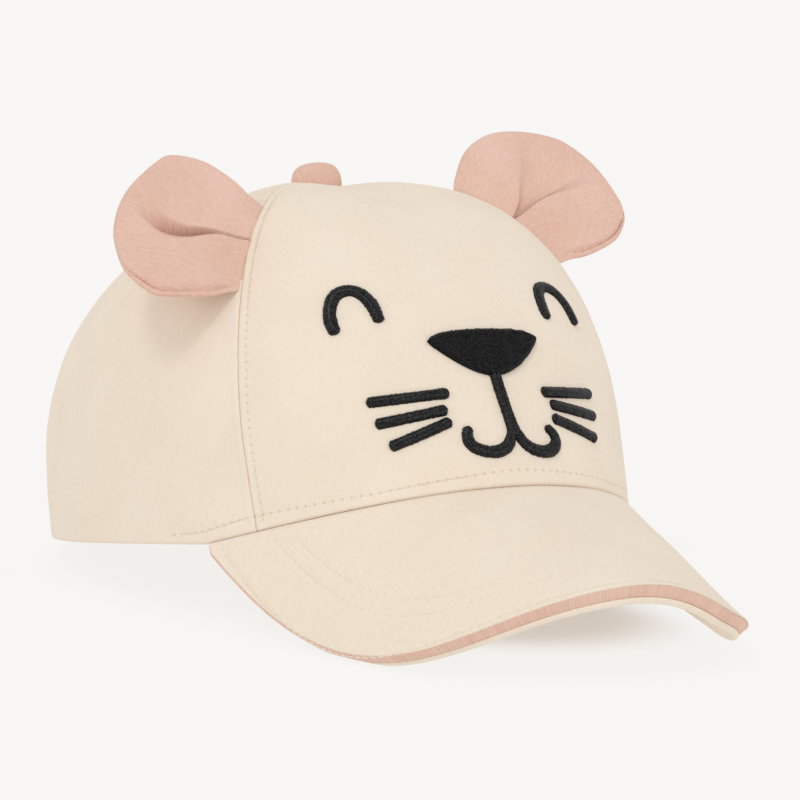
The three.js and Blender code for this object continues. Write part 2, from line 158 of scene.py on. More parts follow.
def rest_shift():
    """The move, after the pitch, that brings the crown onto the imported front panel."""
    turns, heights = np.meshgrid(np.linspace(-FRONT_SEAM_TURN, FRONT_SEAM_TURN, 201), np.linspace(0, 1, 401))
    foot = hem_height(turns)
    shape = pitched(crown_point(turns, foot + (CROWN_HEIGHT - 0.05 - foot) * heights))
    low, high = (np.array(corner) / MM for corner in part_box("front_panel"))
    return np.array([(low[0] + high[0]) / 2, low[1] - shape[..., 1].min(), high[2] - shape[..., 2].max()])


def pitched(points):
    c = math.cos(REST_PITCH)
    s = math.sin(REST_PITCH)
    x, y, z = np.moveaxis(np.asarray(points, float), -1, 0)
    return np.stack([x, y * c - z * s, y * s + z * c], -1)


REST_SHIFT = rest_shift()


def place(points):
    settled = pitched(points) + REST_SHIFT
    settled[..., 2] = np.maximum(settled[..., 2], 0.0)
    return settled * MM


# Meshes from grids of points

def new_piece(name, points, faces, material, replaced, attributes=None):
    mesh = bpy.data.meshes.new(name)
    mesh.from_pydata(place(points).tolist(), [], faces)
    mesh.update()
    mesh.shade_smooth()
    for label, values in (attributes or {}).items():
        layer = mesh.attributes.new(label, "FLOAT_VECTOR", "POINT")
        layer.data.foreach_set("vector", np.asarray(values, np.float32).ravel())
    piece = bpy.data.objects.new(name, mesh)
    bpy.context.scene.collection.objects.link(piece)
    piece.data.materials.append(material)
    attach(piece, "root")
    if replaced:
        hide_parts(*replaced)
    return piece


def grid_faces(columns, rows, start=0, flip=False, close_columns=False):
    spans = columns if close_columns else columns - 1
    i, j = np.meshgrid(np.arange(spans), np.arange(rows - 1), indexing="ij")
    after = (i + 1) % columns
    quads = np.stack([i * rows + j, after * rows + j, after * rows + j + 1, i * rows + j + 1], -1)
    quads = quads.reshape(-1, 4) + start
    return (quads[:, ::-1] if flip else quads).tolist()


def shell_faces(columns, rows):
    """Faces of a closed wall between an outer grid and an inner grid of the same size."""
    layer = columns * rows
    faces = grid_faces(columns, rows) + grid_faces(columns, rows, layer, flip=True)
    rim = [i * rows for i in range(columns)]
    rim += [(columns - 1) * rows + j for j in range(1, rows)]
    rim += [i * rows + rows - 1 for i in range(columns - 2, -1, -1)]
    rim += [j for j in range(rows - 2, 0, -1)]
    for a, b in zip(rim, rim[1:] + rim[:1]):
        faces.append([a, a + layer, b + layer, b])
    return faces


def facing_out(points, faces):
    """The faces, turned over if the closed surface has its inside out."""
    p = np.asarray(points)
    fans = np.array([(face[0], face[k], face[k + 1]) for face in faces for k in range(1, len(face) - 1)])
    a, b, c = (p[fans[:, k]] for k in range(3))
    volume = np.einsum("ij,ij->i", a, np.cross(b, c)).sum()
    return faces if volume > 0 else [f[::-1] for f in faces]


def nearest_on_line(points, line):
    """For each point: how far along the line its nearest spot lies, and how far off it is."""
    flat = points.reshape(-1, 3)
    starts = line[:-1]
    legs = line[1:] - starts
    lengths = np.linalg.norm(legs, axis=1)
    before = np.concatenate([[0], np.cumsum(lengths)[:-1]])
    along = np.zeros(len(flat))
    off = np.full(len(flat), np.inf)
    side = np.zeros((len(flat), 3))
    for k in range(len(legs)):
        share = np.clip((flat - starts[k]) @ legs[k] / lengths[k] ** 2, 0, 1)
        reach = flat - starts[k] - share[:, None] * legs[k]
        distance = np.linalg.norm(reach, axis=1)
        closer = distance < off
        along = np.where(closer, before[k] + share * lengths[k], along)
        side = np.where(closer[:, None], np.cross(legs[k] / lengths[k], reach), side)
        off = np.where(closer, distance, off)
    shape = points.shape[:-1]
    return along.reshape(shape), off.reshape(shape), side.reshape(points.shape)


def smooth(value):
    value = np.clip(value, 0, 1)
    return value * value * (3 - 2 * value)


def rolled(distance, radius):
    """How far a surface drops towards an edge that is rolled over with that radius."""
    inward = np.clip(1 - distance / radius, 0, 1)
    return -radius * (1 - np.sqrt(1 - inward ** 2))


# Materials

def nodes_of(material):
    material.use_nodes = True
    return material.node_tree.nodes, material.node_tree.links


class Maths:
    """Short ways to add nodes to one material."""

    def __init__(self, material):
        self.nodes, self.links = nodes_of(material)

    def math(self, operation, a, b=None):
        node = self.nodes.new("ShaderNodeMath")
        node.operation = operation
        for socket, value in zip(node.inputs, (a, b)):
            if value is None:
                continue
            if isinstance(value, (int, float)):
                socket.default_value = value
            else:
                self.links.new(value, socket)
        return node.outputs[0]

    def attribute(self, name):
        node = self.nodes.new("ShaderNodeAttribute")
        node.attribute_name = name
        split = self.nodes.new("ShaderNodeSeparateXYZ")
        self.links.new(node.outputs["Vector"], split.inputs[0])
        return node.outputs["Vector"], split.outputs[0], split.outputs[1], split.outputs[2]

    def noise(self, vector, scale, detail=2.0, stretch=(1, 1, 1)):
        mapping = self.nodes.new("ShaderNodeMapping")
        mapping.inputs["Scale"].default_value = stretch
        self.links.new(vector, mapping.inputs["Vector"])
        node = self.nodes.new("ShaderNodeTexNoise")
        node.inputs["Scale"].default_value = scale
        node.inputs["Detail"].default_value = detail
        self.links.new(mapping.outputs[0], node.inputs["Vector"])
        return node.outputs["Fac"]

    def range(self, value, low, high, to_low, to_high):
        node = self.nodes.new("ShaderNodeMapRange")
        node.interpolation_type = "SMOOTHSTEP"
        for name, number in (("From Min", low), ("From Max", high), ("To Min", to_low), ("To Max", to_high)):
            node.inputs[name].default_value = number
        self.links.new(value, node.inputs["Value"])
        return node.outputs[0]

    def blend(self, factor, a, b):
        node = self.nodes.new("ShaderNodeMix")
        node.data_type = "RGBA"
        self.links.new(factor, node.inputs["Factor"])
        for socket, value in ((node.inputs[6], a), (node.inputs[7], b)):
            if isinstance(value, tuple):
                socket.default_value = (*value, 1)
            else:
                self.links.new(value, socket)
        return node.outputs[2]

    def bump(self, height, distance, strength=1.0, before=None):
        node = self.nodes.new("ShaderNodeBump")
        node.inputs["Distance"].default_value = distance
        node.inputs["Strength"].default_value = strength
        self.links.new(height, node.inputs["Height"])
        if before is not None:
            self.links.new(before, node.inputs["Normal"])
        return node.outputs[0]

    def shader(self):
        return self.nodes["Principled BSDF"]


def rib_height(m, u, v):
    """Rounded ribs across u, each broken into small loops along v."""
    across = m.math("SINE", m.math("MULTIPLY", u, math.pi / RIB_PITCH))
    rib = m.math("ABSOLUTE", across)
    lean = m.math("MULTIPLY", m.math("SINE", m.math("MULTIPLY", u, 2 * math.pi / RIB_PITCH)), 0.9)
    loops = m.math("SINE", m.math("ADD", m.math("MULTIPLY", v, 2 * math.pi / COURSE_PITCH), lean))
    return m.math("ADD", m.math("MULTIPLY", rib, 0.8), m.math("MULTIPLY", loops, 0.12))


def needle_holes(m, name):
    """1 in the needle holes of the stitch row kept in that attribute, times how dark their painted shade is,
    0 elsewhere.
    """
    # the third value is how dark the painted shade in the holes is
    _, count, off, depth = m.attribute(name)
    step = m.math("SUBTRACT", m.math("FRACT", count), 0.5)
    lengthwise = m.math("MULTIPLY", m.math("ABSOLUTE", step), SEAM_STITCH)
    distance = m.math("SQRT", m.math("ADD", m.math("POWER", lengthwise, 2.0), m.math("POWER", off, 2.0)))
    return m.math("MULTIPLY", m.range(distance, 0.10, 0.50, 1.0, 0.0), depth)


def jersey(name, light, dark, hole_shade_colour, rib_depth, rib_groove_shade, rows=()):
    """Fine ribbed cotton jersey, with painted shade in the grooves between its ribs and in its needle holes.
    rows names the attributes that hold stitch rows.
    """
    material = bpy.data.materials.new(name)
    m = Maths(material)
    vector, u, v, _ = m.attribute("knit")
    ribs = rib_height(m, u, v)
    slubs = m.noise(vector, 1.1, 3.0, (1.2, 0.45, 1))
    patches = m.noise(vector, 0.045, 2.0)
    fuzz = m.noise(vector, 2.6, 4.0)
    tone = m.math("ADD", m.math("MULTIPLY", slubs, 0.36), m.math("MULTIPLY", patches, 0.30))
    tone = m.math("ADD", tone, m.math("MULTIPLY", fuzz, 0.34))
    color = m.blend(m.range(tone, 0.34, 0.66, 0.0, 1.0), dark, light)
    # painted shade: the grooves between the ribs are coloured towards the dark tone
    color = m.blend(m.range(ribs, 0.0, 0.5, rib_groove_shade, 0.0), color, dark)
    normal = m.bump(ribs, rib_depth * MM)
    normal = m.bump(fuzz, 0.07 * MM, 0.7, normal)
    for row in rows:
        hole_shade = needle_holes(m, row)
        # painted shade: the needle holes are coloured towards the hole colour, and the bump below dents them
        color = m.blend(hole_shade, color, hole_shade_colour)
        normal = m.bump(m.math("SUBTRACT", 1.0, hole_shade), 0.25 * MM, 1.0, normal)
    shader = m.shader()
    m.links.new(color, shader.inputs["Base Color"])
    m.links.new(normal, shader.inputs["Normal"])
    m.links.new(m.range(slubs, 0.3, 0.7, 0.86, 0.96), shader.inputs["Roughness"])
    shader.inputs["Specular IOR Level"].default_value = 0.2
    shader.inputs["Sheen Weight"].default_value = 0.08
    shader.inputs["Sheen Roughness"].default_value = 0.5
    return material


def thread(name, light, dark, roughness, gloss, grain, grit=0.04):
    """Spun thread with fine flecks. grain is the number of flecks in a metre."""
    material = bpy.data.materials.new(name)
    m = Maths(material)
    coordinates = m.nodes.new("ShaderNodeTexCoord").outputs["Object"]
    flecks = m.noise(coordinates, grain, 3.0)
    patches = m.noise(coordinates, grain / 12, 2.0)
    tone = m.math("ADD", m.math("MULTIPLY", flecks, 0.7), m.math("MULTIPLY", patches, 0.3))
    color = m.blend(m.range(tone, 0.38, 0.66, 0.0, 1.0), dark, light)
    shader = m.shader()
    m.links.new(color, shader.inputs["Base Color"])
    m.links.new(m.bump(flecks, grit * MM, 0.6), shader.inputs["Normal"])
    m.links.new(m.range(flecks, 0.3, 0.7, roughness - 0.08, roughness + 0.08), shader.inputs["Roughness"])
    m.links.new(m.range(flecks, 0.35, 0.70, gloss * 0.4, gloss * 1.8), shader.inputs["Specular IOR Level"])
    return material


CREAM_LIGHT = (0.875, 0.765, 0.640)
CREAM_DARK = (0.815, 0.700, 0.568)
# The hole colours are painted shade in the needle holes.
CREAM_HOLE_SHADE = (0.50, 0.35, 0.22)
PINK_LIGHT = (0.815, 0.570, 0.470)
PINK_DARK = (0.715, 0.452, 0.355)
PINK_HOLE_SHADE = (0.30, 0.13, 0.09)
BLACK_LIGHT = (0.0065, 0.0067, 0.0073)
BLACK_DARK = (0.0015, 0.0015, 0.002)
THREAD_GRAIN = 2600.0
STITCH_ROWS = ("row_a", "row_b", "row_c")

# The number after each rib depth is how strong the painted shade in the rib grooves is.
cream_rows = jersey("cream_jersey_rows", CREAM_LIGHT, CREAM_DARK, CREAM_HOLE_SHADE, 0.045, 0.30, STITCH_ROWS)
cream_plain = jersey("cream_jersey_plain", CREAM_LIGHT, CREAM_DARK, CREAM_HOLE_SHADE, 0.045, 0.30)
pink_jersey = jersey("pink_jersey", PINK_LIGHT, PINK_DARK, PINK_HOLE_SHADE, 0.09, 0.62)
cream_thread = thread("cream_thread", (0.86, 0.76, 0.63), (0.78, 0.67, 0.53), 0.75, 0.2, THREAD_GRAIN)
black_thread = thread("black_thread", BLACK_LIGHT, BLACK_DARK, 0.27, 0.28, THREAD_GRAIN, 0.015)
black_fill = thread("black_fill", BLACK_LIGHT, BLACK_DARK, 0.38, 0.15, THREAD_GRAIN)


# Stitch rows on the crown, as lines of turns and heights

HEM_ROW = {
    "turn": (0.0, 12.0, 30.0, 46.0, 54.0, 62.0, 69.0),
    "above": (3.6, 3.1, 2.5, 3.4, 3.9, 3.3, 2.4),
}


def degrees_across(distance, turn, height):
    """The turn that covers that many millimetres on the crown."""
    spot = crown_point(turn, height)
    return np.degrees(distance / np.maximum(np.hypot(spot[..., 0], spot[..., 1]), 1.0))


def climbing_row(seam, offset, foot, top=CROWN_HEIGHT * 0.985):
    """A row beside a seam, from a height near the hem to the apex."""
    climbs = np.linspace(climb_of_height(90.0, max(foot, WIDEST_HEIGHT)), climb_of_height(90.0, top), 60)
    heights = height_of_climb(90.0, climbs)
    if foot < WIDEST_HEIGHT:
        heights = np.concatenate([np.linspace(foot, WIDEST_HEIGHT, 12)[:-1], heights])
    turns = seam(heights) + degrees_across(offset, seam(heights), heights)
    return crown_at(turns, heights), crown_normal(turns, heights)


def hem_row():
    last = HEM_ROW["turn"][-1]
    turns = np.linspace(-last, last, 181)
    heights = hem_height(turns) + np.interp(np.abs(turns), HEM_ROW["turn"], HEM_ROW["above"])
    return crown_at(turns, heights), crown_normal(turns, heights)


def arch_row():
    swing = np.linspace(-90, 90, 91)
    grown = 1 + 3.0 / BACK_ARCH_HEIGHT
    turns = 180 - BACK_ARCH_HALF_TURN * grown * np.sin(np.radians(swing))
    heights = 1.0 + BACK_ARCH_HEIGHT * grown * np.cos(np.radians(swing))
    return crown_at(turns, heights), crown_normal(turns, heights)


def right_front(height):
    return front_seam(height)


def left_front(height):
    return -front_seam(height)


def right_side(height):
    return np.full(np.shape(height), SIDE_SEAM_TURN)


def left_side(height):
    return np.full(np.shape(height), -SIDE_SEAM_TURN)


def back_middle(height):
    return np.full(np.shape(height), 180.0)


def left_back_middle(height):
    return -back_middle(height)


# How dark the painted shade in a seam row's needle holes is
SEAM_HOLE_SHADE = 0.38


def seam_row(seam, offset, foot):
    return {"line": climbing_row(seam, offset, foot), "stitch": SEAM_STITCH, "hole_shade": SEAM_HOLE_SHADE}


# Each row has its line, its stitch length and how dark the painted shade in its needle holes is
CROWN_ROWS = {
    "front_right": seam_row(right_front, -SEAM_ROW_OFFSET, 5.2),
    "front_left": seam_row(left_front, SEAM_ROW_OFFSET, 5.2),
    "hem": {"line": hem_row(), "stitch": HEM_STITCH, "hole_shade": 0.42},
    "side_right": seam_row(right_side, SEAM_ROW_OFFSET, 1.5),
    "side_left": seam_row(left_side, -SEAM_ROW_OFFSET, 1.5),
    "back_right": seam_row(back_middle, -SEAM_ROW_OFFSET, BACK_ARCH_HEIGHT + 2),
    "back_left": seam_row(back_middle, SEAM_ROW_OFFSET, BACK_ARCH_HEIGHT + 2),
    "arch": {"line": arch_row(), "stitch": HEM_STITCH, "hole_shade": 0.5},
}


# Crown panels

PANELS = (
    {"name": "crown_front", "node": "front_panel", "low": left_front, "high": right_front,
     "rows": ("front_right", "front_left", "hem")},
    {"name": "crown_side_right", "node": "side_panel_right", "low": right_front, "high": right_side,
     "rows": ("hem",)},
    {"name": "crown_side_left", "node": "side_panel_left", "low": left_side, "high": left_front,
     "rows": ("hem",)},
    {"name": "crown_back_right", "node": "back_panel_right", "low": right_side, "high": back_middle,
     "rows": ("side_right", "back_right", "arch")},
    {"name": "crown_back_left", "node": "back_panel_left", "low": left_back_middle, "high": left_side,
     "rows": ("side_left", "back_left", "arch")},
)

# Soft dents and swells in the worn cloth: where, how wide in millimetres, and how deep
DENTS = (
    {"turn": 18.0, "height": 88.0, "width": 11.0, "depth": 0.9},
    {"turn": -22.0, "height": 84.0, "width": 13.0, "depth": 0.6},
    {"turn": 66.0, "height": 62.0, "width": 14.0, "depth": 0.8},
    {"turn": 88.0, "height": 38.0, "width": 20.0, "depth": 0.5},
    {"turn": 76.0, "height": 12.0, "width": 12.0, "depth": 0.5},
    {"turn": 44.0, "height": 30.0, "width": 16.0, "depth": -0.3},
    {"turn": 100.0, "height": 8.0, "width": 16.0, "depth": -0.5},
    {"turn": -70.0, "height": 55.0, "width": 16.0, "depth": 0.7},
    {"turn": 118.0, "height": 86.0, "width": 14.0, "depth": -0.6},
    {"turn": 68.0, "height": 90.0, "width": 9.0, "depth": -0.5},
    {"turn": 150.0, "height": 55.0, "width": 18.0, "depth": 0.7},
    {"turn": -146.0, "height": 48.0, "width": 16.0, "depth": 0.6},
)


def softness(points):
    """Low dents and ripples of cloth over the crown, in millimetres."""
    lift = np.zeros(points.shape[:-1])
    for dent in DENTS:
        centre = crown_point(dent["turn"], dent["height"])
        away = np.linalg.norm(points - centre, axis=-1)
        lift -= dent["depth"] * np.exp(-(away / dent["width"]) ** 2)
    x, y, z = np.moveaxis(points, -1, 0)
    lift += 0.16 * np.sin(x / 11 + 1.3 * np.sin(z / 17)) * np.sin(z / 13 + y / 19)
    lift += 0.07 * np.sin(x / 4.7 + y / 6.1 + 2.0) * np.sin(z / 5.9 + y / 8.3)
    return lift


def hem_outline(panel, count=160):
    """The panel's lower edge, evenly spaced, as turns and heights."""
    low = float(panel["low"](np.array(0.0)))
    high = float(panel["high"](np.array(0.0)))
    turns = np.linspace(low, high, 900)
    foot = np.abs(180 - np.abs(turns)) < BACK_ARCH_HALF_TURN
    if foot.any():
        swing = np.linspace(0, 90, 300)
        arch = 180 - BACK_ARCH_HALF_TURN * np.cos(np.radians(swing))
        turns = np.concatenate([turns[~foot], arch] if high > 0 else [-arch[::-1], turns[~foot]])
    heights = hem_height(turns)
    line = crown_point(turns, heights)
    gone = np.concatenate([[0], np.cumsum(np.linalg.norm(np.diff(line, axis=0), axis=1))])
    even = np.linspace(0, gone[-1], count)
    return np.interp(even, gone, turns), np.interp(even, gone, heights)


def edge_spread(width, steps):
    """Shares of a width with fine steps at both of its edges."""
    fine = np.array(EDGE_STEPS) * min(1.0, width / 14.0) / width
    middle = np.linspace(fine[-1], 1 - fine[-1], steps)
    return np.concatenate([fine[:-1], middle, 1 - fine[:-1][::-1]])


def panel_grid(panel):
    """Turns and heights of the panel's grid, columns from its low seam to its high seam."""
    edge_turn, edge_height = hem_outline(panel)
    widest = crown_point(edge_turn, edge_height)
    hem_length = np.linalg.norm(np.diff(widest, axis=0), axis=1).sum()
    steps = int(hem_length / CLOTH_STEP)
    spots = np.linspace(0, 1, len(edge_turn))
    first = panel["low"](np.array(0.0))
    last = panel["high"](np.array(0.0))
    lower_steps = np.array(EDGE_STEPS + (3.8, 4.8, 6.0))
    fractions = np.linspace(0, 1, int(LEVEL_HEIGHT / CLOTH_STEP) - 2)[1:]
    turns = []
    heights = []

    def add_row(share_at, height_at, width):
        shares = edge_spread(width, steps)
        height = height_at(shares)
        low = panel["low"](height)
        high = panel["high"](height)
        turns.append(low + (high - low) * share_at(shares))
        heights.append(height)

    hem_share = (edge_turn - first) / (last - first)
    span_to_level = LEVEL_HEIGHT - edge_height
    for step in list(lower_steps) + list(fractions):
        is_edge_step = len(turns) < len(lower_steps)

        def progress(shares, step=step, is_edge_step=is_edge_step):
            room = np.interp(shares, spots, span_to_level)
            near = step / room
            if is_edge_step:
                return near
            start = lower_steps[-1] / room
            return start + (1 - start) * step

        def share_at(shares):
            return np.interp(shares, spots, hem_share) * (1 - progress(shares)) + shares * progress(shares)

        def height_at(shares):
            room = np.interp(shares, spots, span_to_level)
            return np.interp(shares, spots, edge_height) + room * progress(shares)

        add_row(share_at, height_at, hem_length)
    middle = (first + last) / 2
    climbs = np.linspace(climb_of_height(middle, LEVEL_HEIGHT), APEX_CLIMB, 56)[1:]
    for climb in climbs:
        level = float(height_of_climb(middle, climb))
        ends = crown_point(np.array([first, last]), np.array([level, level]))
        width = max(2.5, np.linalg.norm(ends[0] - ends[1]) * 1.15)

        def height_at(shares, climb=climb):
            spread = first + (last - first) * shares
            base = climb_of_height(spread, LEVEL_HEIGHT)
            start = climb_of_height(middle, LEVEL_HEIGHT)
            share = (climb - start) / (APEX_CLIMB - start)
            return height_of_climb(spread, base + (APEX_CLIMB - base) * share)

        add_row(lambda shares: shares, height_at, width)
    return np.array(turns).T, np.array(heights).T


def seam_line(seam, foot=0.0):
    heights = foot + (CROWN_HEIGHT * 0.995 - foot) * np.linspace(0, 1, 120) ** 0.8
    return crown_point(seam(heights), heights)


def knit_coordinates(points):
    """Distances across and up a panel, from its middle column and its hem, in millimetres."""
    middle = points.shape[0] // 2
    across = np.linalg.norm(np.diff(points, axis=0), axis=-1)
    u = np.concatenate([np.zeros((1, points.shape[1])), np.cumsum(across, axis=0)])
    u = u - u[middle]
    up_step = np.linalg.norm(np.diff(points[middle], axis=0), axis=-1)
    v = np.concatenate([[0], np.cumsum(up_step)])[None, :] * np.ones((points.shape[0], 1))
    return np.stack([u, v, np.zeros_like(u)], -1)


def stitch_attribute(points, normals, line, row):
    """For each point: stitches along the row, millimetres off it, and how dark the painted shade in its
    needle holes is.
    """
    along, off, side = nearest_on_line(points, line)
    sign = np.sign((side * normals).sum(-1))
    return np.stack([along / row["stitch"], off * sign, np.full_like(off, row["hole_shade"])], -1)


def crown_panel(panel):
    turns, heights = panel_grid(panel)
    base = crown_point(turns, heights)
    normals = crown_normal(turns, heights)
    edge_turn, edge_height = hem_outline(panel, 260)
    _, from_hem, _ = nearest_on_line(base, crown_point(edge_turn, edge_height))
    width = np.linalg.norm(base[0] - base[-1], axis=-1)[None, :]
    roll = np.minimum(SEAM_ROLL, np.maximum(width, 0.4) / 5)
    lift = softness(base)
    for seam in (panel["low"], panel["high"]):
        along, from_seam, _ = nearest_on_line(base, seam_line(seam))
        lift += rolled(from_seam, roll)
        swell = np.exp(-((from_seam - SEAM_ROW_OFFSET * 0.5) / 0.7) ** 2)
        lift += 0.16 * swell * np.minimum(1, width / 12)
        pucker = np.exp(-(from_seam / 5.0) ** 2) * np.minimum(1, width / 25)
        lift += 0.05 * np.sin(along / 1.9 + 1.6 * np.sin(along / 7.3)) * pucker
    lift += rolled(from_hem, HEM_ROLL)
    attributes = {"knit": knit_coordinates(base)}
    for label in STITCH_ROWS:
        attributes[label] = np.full(base.shape, NO_ROW)
    for label, row_name in zip(STITCH_ROWS, panel["rows"]):
        row = CROWN_ROWS[row_name]
        values = stitch_attribute(base, normals, row["line"][0], row)
        attributes[label] = values
        step = np.cos(2 * math.pi * values[..., 0])
        lift -= (0.18 + 0.04 * step) * np.exp(-(values[..., 1] / 0.65) ** 2) * np.minimum(1, width / 12)
    outer = base + normals * lift[..., None]
    inner_drop = -CLOTH_WALL - rolled(from_hem, HEM_ROLL * 0.8) + softness(base) * 0.8
    inner = base + normals * inner_drop[..., None]
    points = np.concatenate([outer.reshape(-1, 3), inner.reshape(-1, 3)])
    doubled = {label: np.concatenate([v.reshape(-1, 3)] * 2) for label, v in attributes.items()}
    for label in STITCH_ROWS:
        doubled[label][len(doubled[label]) // 2:] = NO_ROW
    faces = facing_out(points, shell_faces(*turns.shape))
    return new_piece(panel["name"], points, faces, cream_rows, [panel["node"]], doubled)


# Stitches: short threads lying from one needle hole to the next

STITCH_SIDES = 6
STITCH_RINGS = (
    {"at": -1.0, "size": 0.25, "sink": 0.30},
    {"at": -0.8, "size": 0.80, "sink": 0.12},
    {"at": -0.4, "size": 1.0, "sink": 0.0},
    {"at": 0.4, "size": 1.0, "sink": 0.0},
    {"at": 0.8, "size": 0.80, "sink": 0.12},
    {"at": 1.0, "size": 0.25, "sink": 0.30},
)


def stitches(name, rows, lift=-0.2):
    """All the stitches of some rows, as one joined mesh."""
    points = []
    faces = []
    for row in rows:
        line, normals = row["line"]
        pitch = row["stitch"]
        gone = np.concatenate([[0], np.cumsum(np.linalg.norm(np.diff(line, axis=0), axis=1))])
        for k in range(1, int(gone[-1] / pitch - 0.5)):
            half = pitch / 2 - 0.2
            spots = [k * pitch + ring["at"] * half for ring in STITCH_RINGS]
            centres = np.stack([np.interp(spots, gone, line[:, a]) for a in range(3)], -1)
            up = unit(np.stack([np.interp(spots, gone, normals[:, a]) for a in range(3)], -1))
            across = unit(np.cross(up, unit(centres[-1] - centres[0])))
            start = len(points)
            skew = rng.normal(0, 0.07)
            size = STITCH_WIDTH / 2 * rng.uniform(0.85, 1.1)
            for i, ring in enumerate(STITCH_RINGS):
                centre = centres[i] + up[i] * (lift - ring["sink"]) + across[i] * skew * ring["at"]
                for side in range(STITCH_SIDES):
                    angle = 2 * math.pi * side / STITCH_SIDES
                    radius = size * ring["size"]
                    points.append(centre + across[i] * math.cos(angle) * radius
                                  + up[i] * math.sin(angle) * radius * 0.8)
            faces += grid_faces(len(STITCH_RINGS), STITCH_SIDES, start)
            for i in range(len(STITCH_RINGS) - 1):
                a = start + i * STITCH_SIDES
                faces.append([a + STITCH_SIDES - 1, a + 2 * STITCH_SIDES - 1, a + STITCH_SIDES, a])
            faces.append([start + side for side in range(STITCH_SIDES)])
            end = start + (len(STITCH_RINGS) - 1) * STITCH_SIDES
            faces.append([end + side for side in range(STITCH_SIDES - 1, -1, -1)])
    return new_piece(name, np.array(points), faces, cream_thread, [])


# Peak: three layers under one curved sheet

PEAK_LENGTH = 61.5
PEAK_TOP_THICKNESS = 1.6
PEAK_INSERT_THICKNESS = 2.2
PEAK_UNDER_THICKNESS = 1.5
PEAK_MIDDLE_SLOPE = 22.8
PEAK_SIDE_SLOPE = 24.1
PEAK_SPLAY = 0.07
PEAK_END_SHARE = 0.985
PEAK_SQUARENESS = 7.4
PEAK_CORNER_ROUNDNESS = 0.8
LAYER_GAP = 0.3

# Soft bends of the peak's edge, most of them where its left corner lies flatter
PEAK_BENDS = (
    {"share": -0.34, "width": 0.20, "lift": -2.9, "starts": 22.0, "grows": 38.0},
    {"share": -0.84, "width": 0.16, "lift": 3.7, "starts": 12.0, "grows": 24.0},
    {"share": 0.10, "width": 0.45, "lift": 0.8, "starts": 30.0, "grows": 30.0},
)


def peak_point(share, distance):
    share, distance = np.broadcast_arrays(np.asarray(share, float), np.asarray(distance, float))
    turn = share * PEAK_HALF_TURN
    root = crown_point(turn, hem_height(turn)) - np.array([0, 0, LAYER_GAP])
    slope = np.radians(PEAK_MIDDLE_SLOPE + PEAK_SIDE_SLOPE * share ** 2)
    heading = np.radians(PEAK_SPLAY * turn)
    way = np.stack([-np.cos(slope) * np.sin(heading), -np.cos(slope) * np.cos(heading), -np.sin(slope)], -1)
    settled = np.zeros(share.shape)
    for bend in PEAK_BENDS:
        spread = np.exp(-((share - bend["share"]) / bend["width"]) ** 2)
        settled += bend["lift"] * spread * smooth((distance - bend["starts"]) / bend["grows"])
    return root + way * distance[..., None] + settled[..., None] * np.array([0, 0, 1])


def peak_normal(share, distance):
    around = peak_point(share + 0.004, distance) - peak_point(share - 0.004, distance)
    outwards = peak_point(share, distance + 1) - peak_point(share, distance)
    return unit(np.cross(around, outwards))


def peak_reach(share):
    return PEAK_LENGTH * (1 - np.abs(share) ** PEAK_SQUARENESS) ** (1 / PEAK_CORNER_ROUNDNESS)


def peak_row(inset, end_share):
    """A stitch row that runs along the peak's edge, that far inside it at the front and sides."""
    shares = end_share * np.sin(np.linspace(-math.pi / 2, math.pi / 2, 161))
    spread = shares / end_share
    reach = (PEAK_LENGTH - inset) * (1 - np.abs(spread) ** 9) ** (1 / 1.1)
    return shares, np.maximum(reach, 0.6)


PEAK_ROWS = (
    {"inset": 2.2, "end_share": 0.955, "stitch": HEM_STITCH, "hole_shade": 0.22},
    {"inset": 11.5, "end_share": 0.80, "stitch": HEM_STITCH, "hole_shade": 0.16},
    {"inset": 17.0, "end_share": 0.745, "stitch": HEM_STITCH, "hole_shade": 0.16},
)


PEAK_EDGE_WIDTH = 7.0


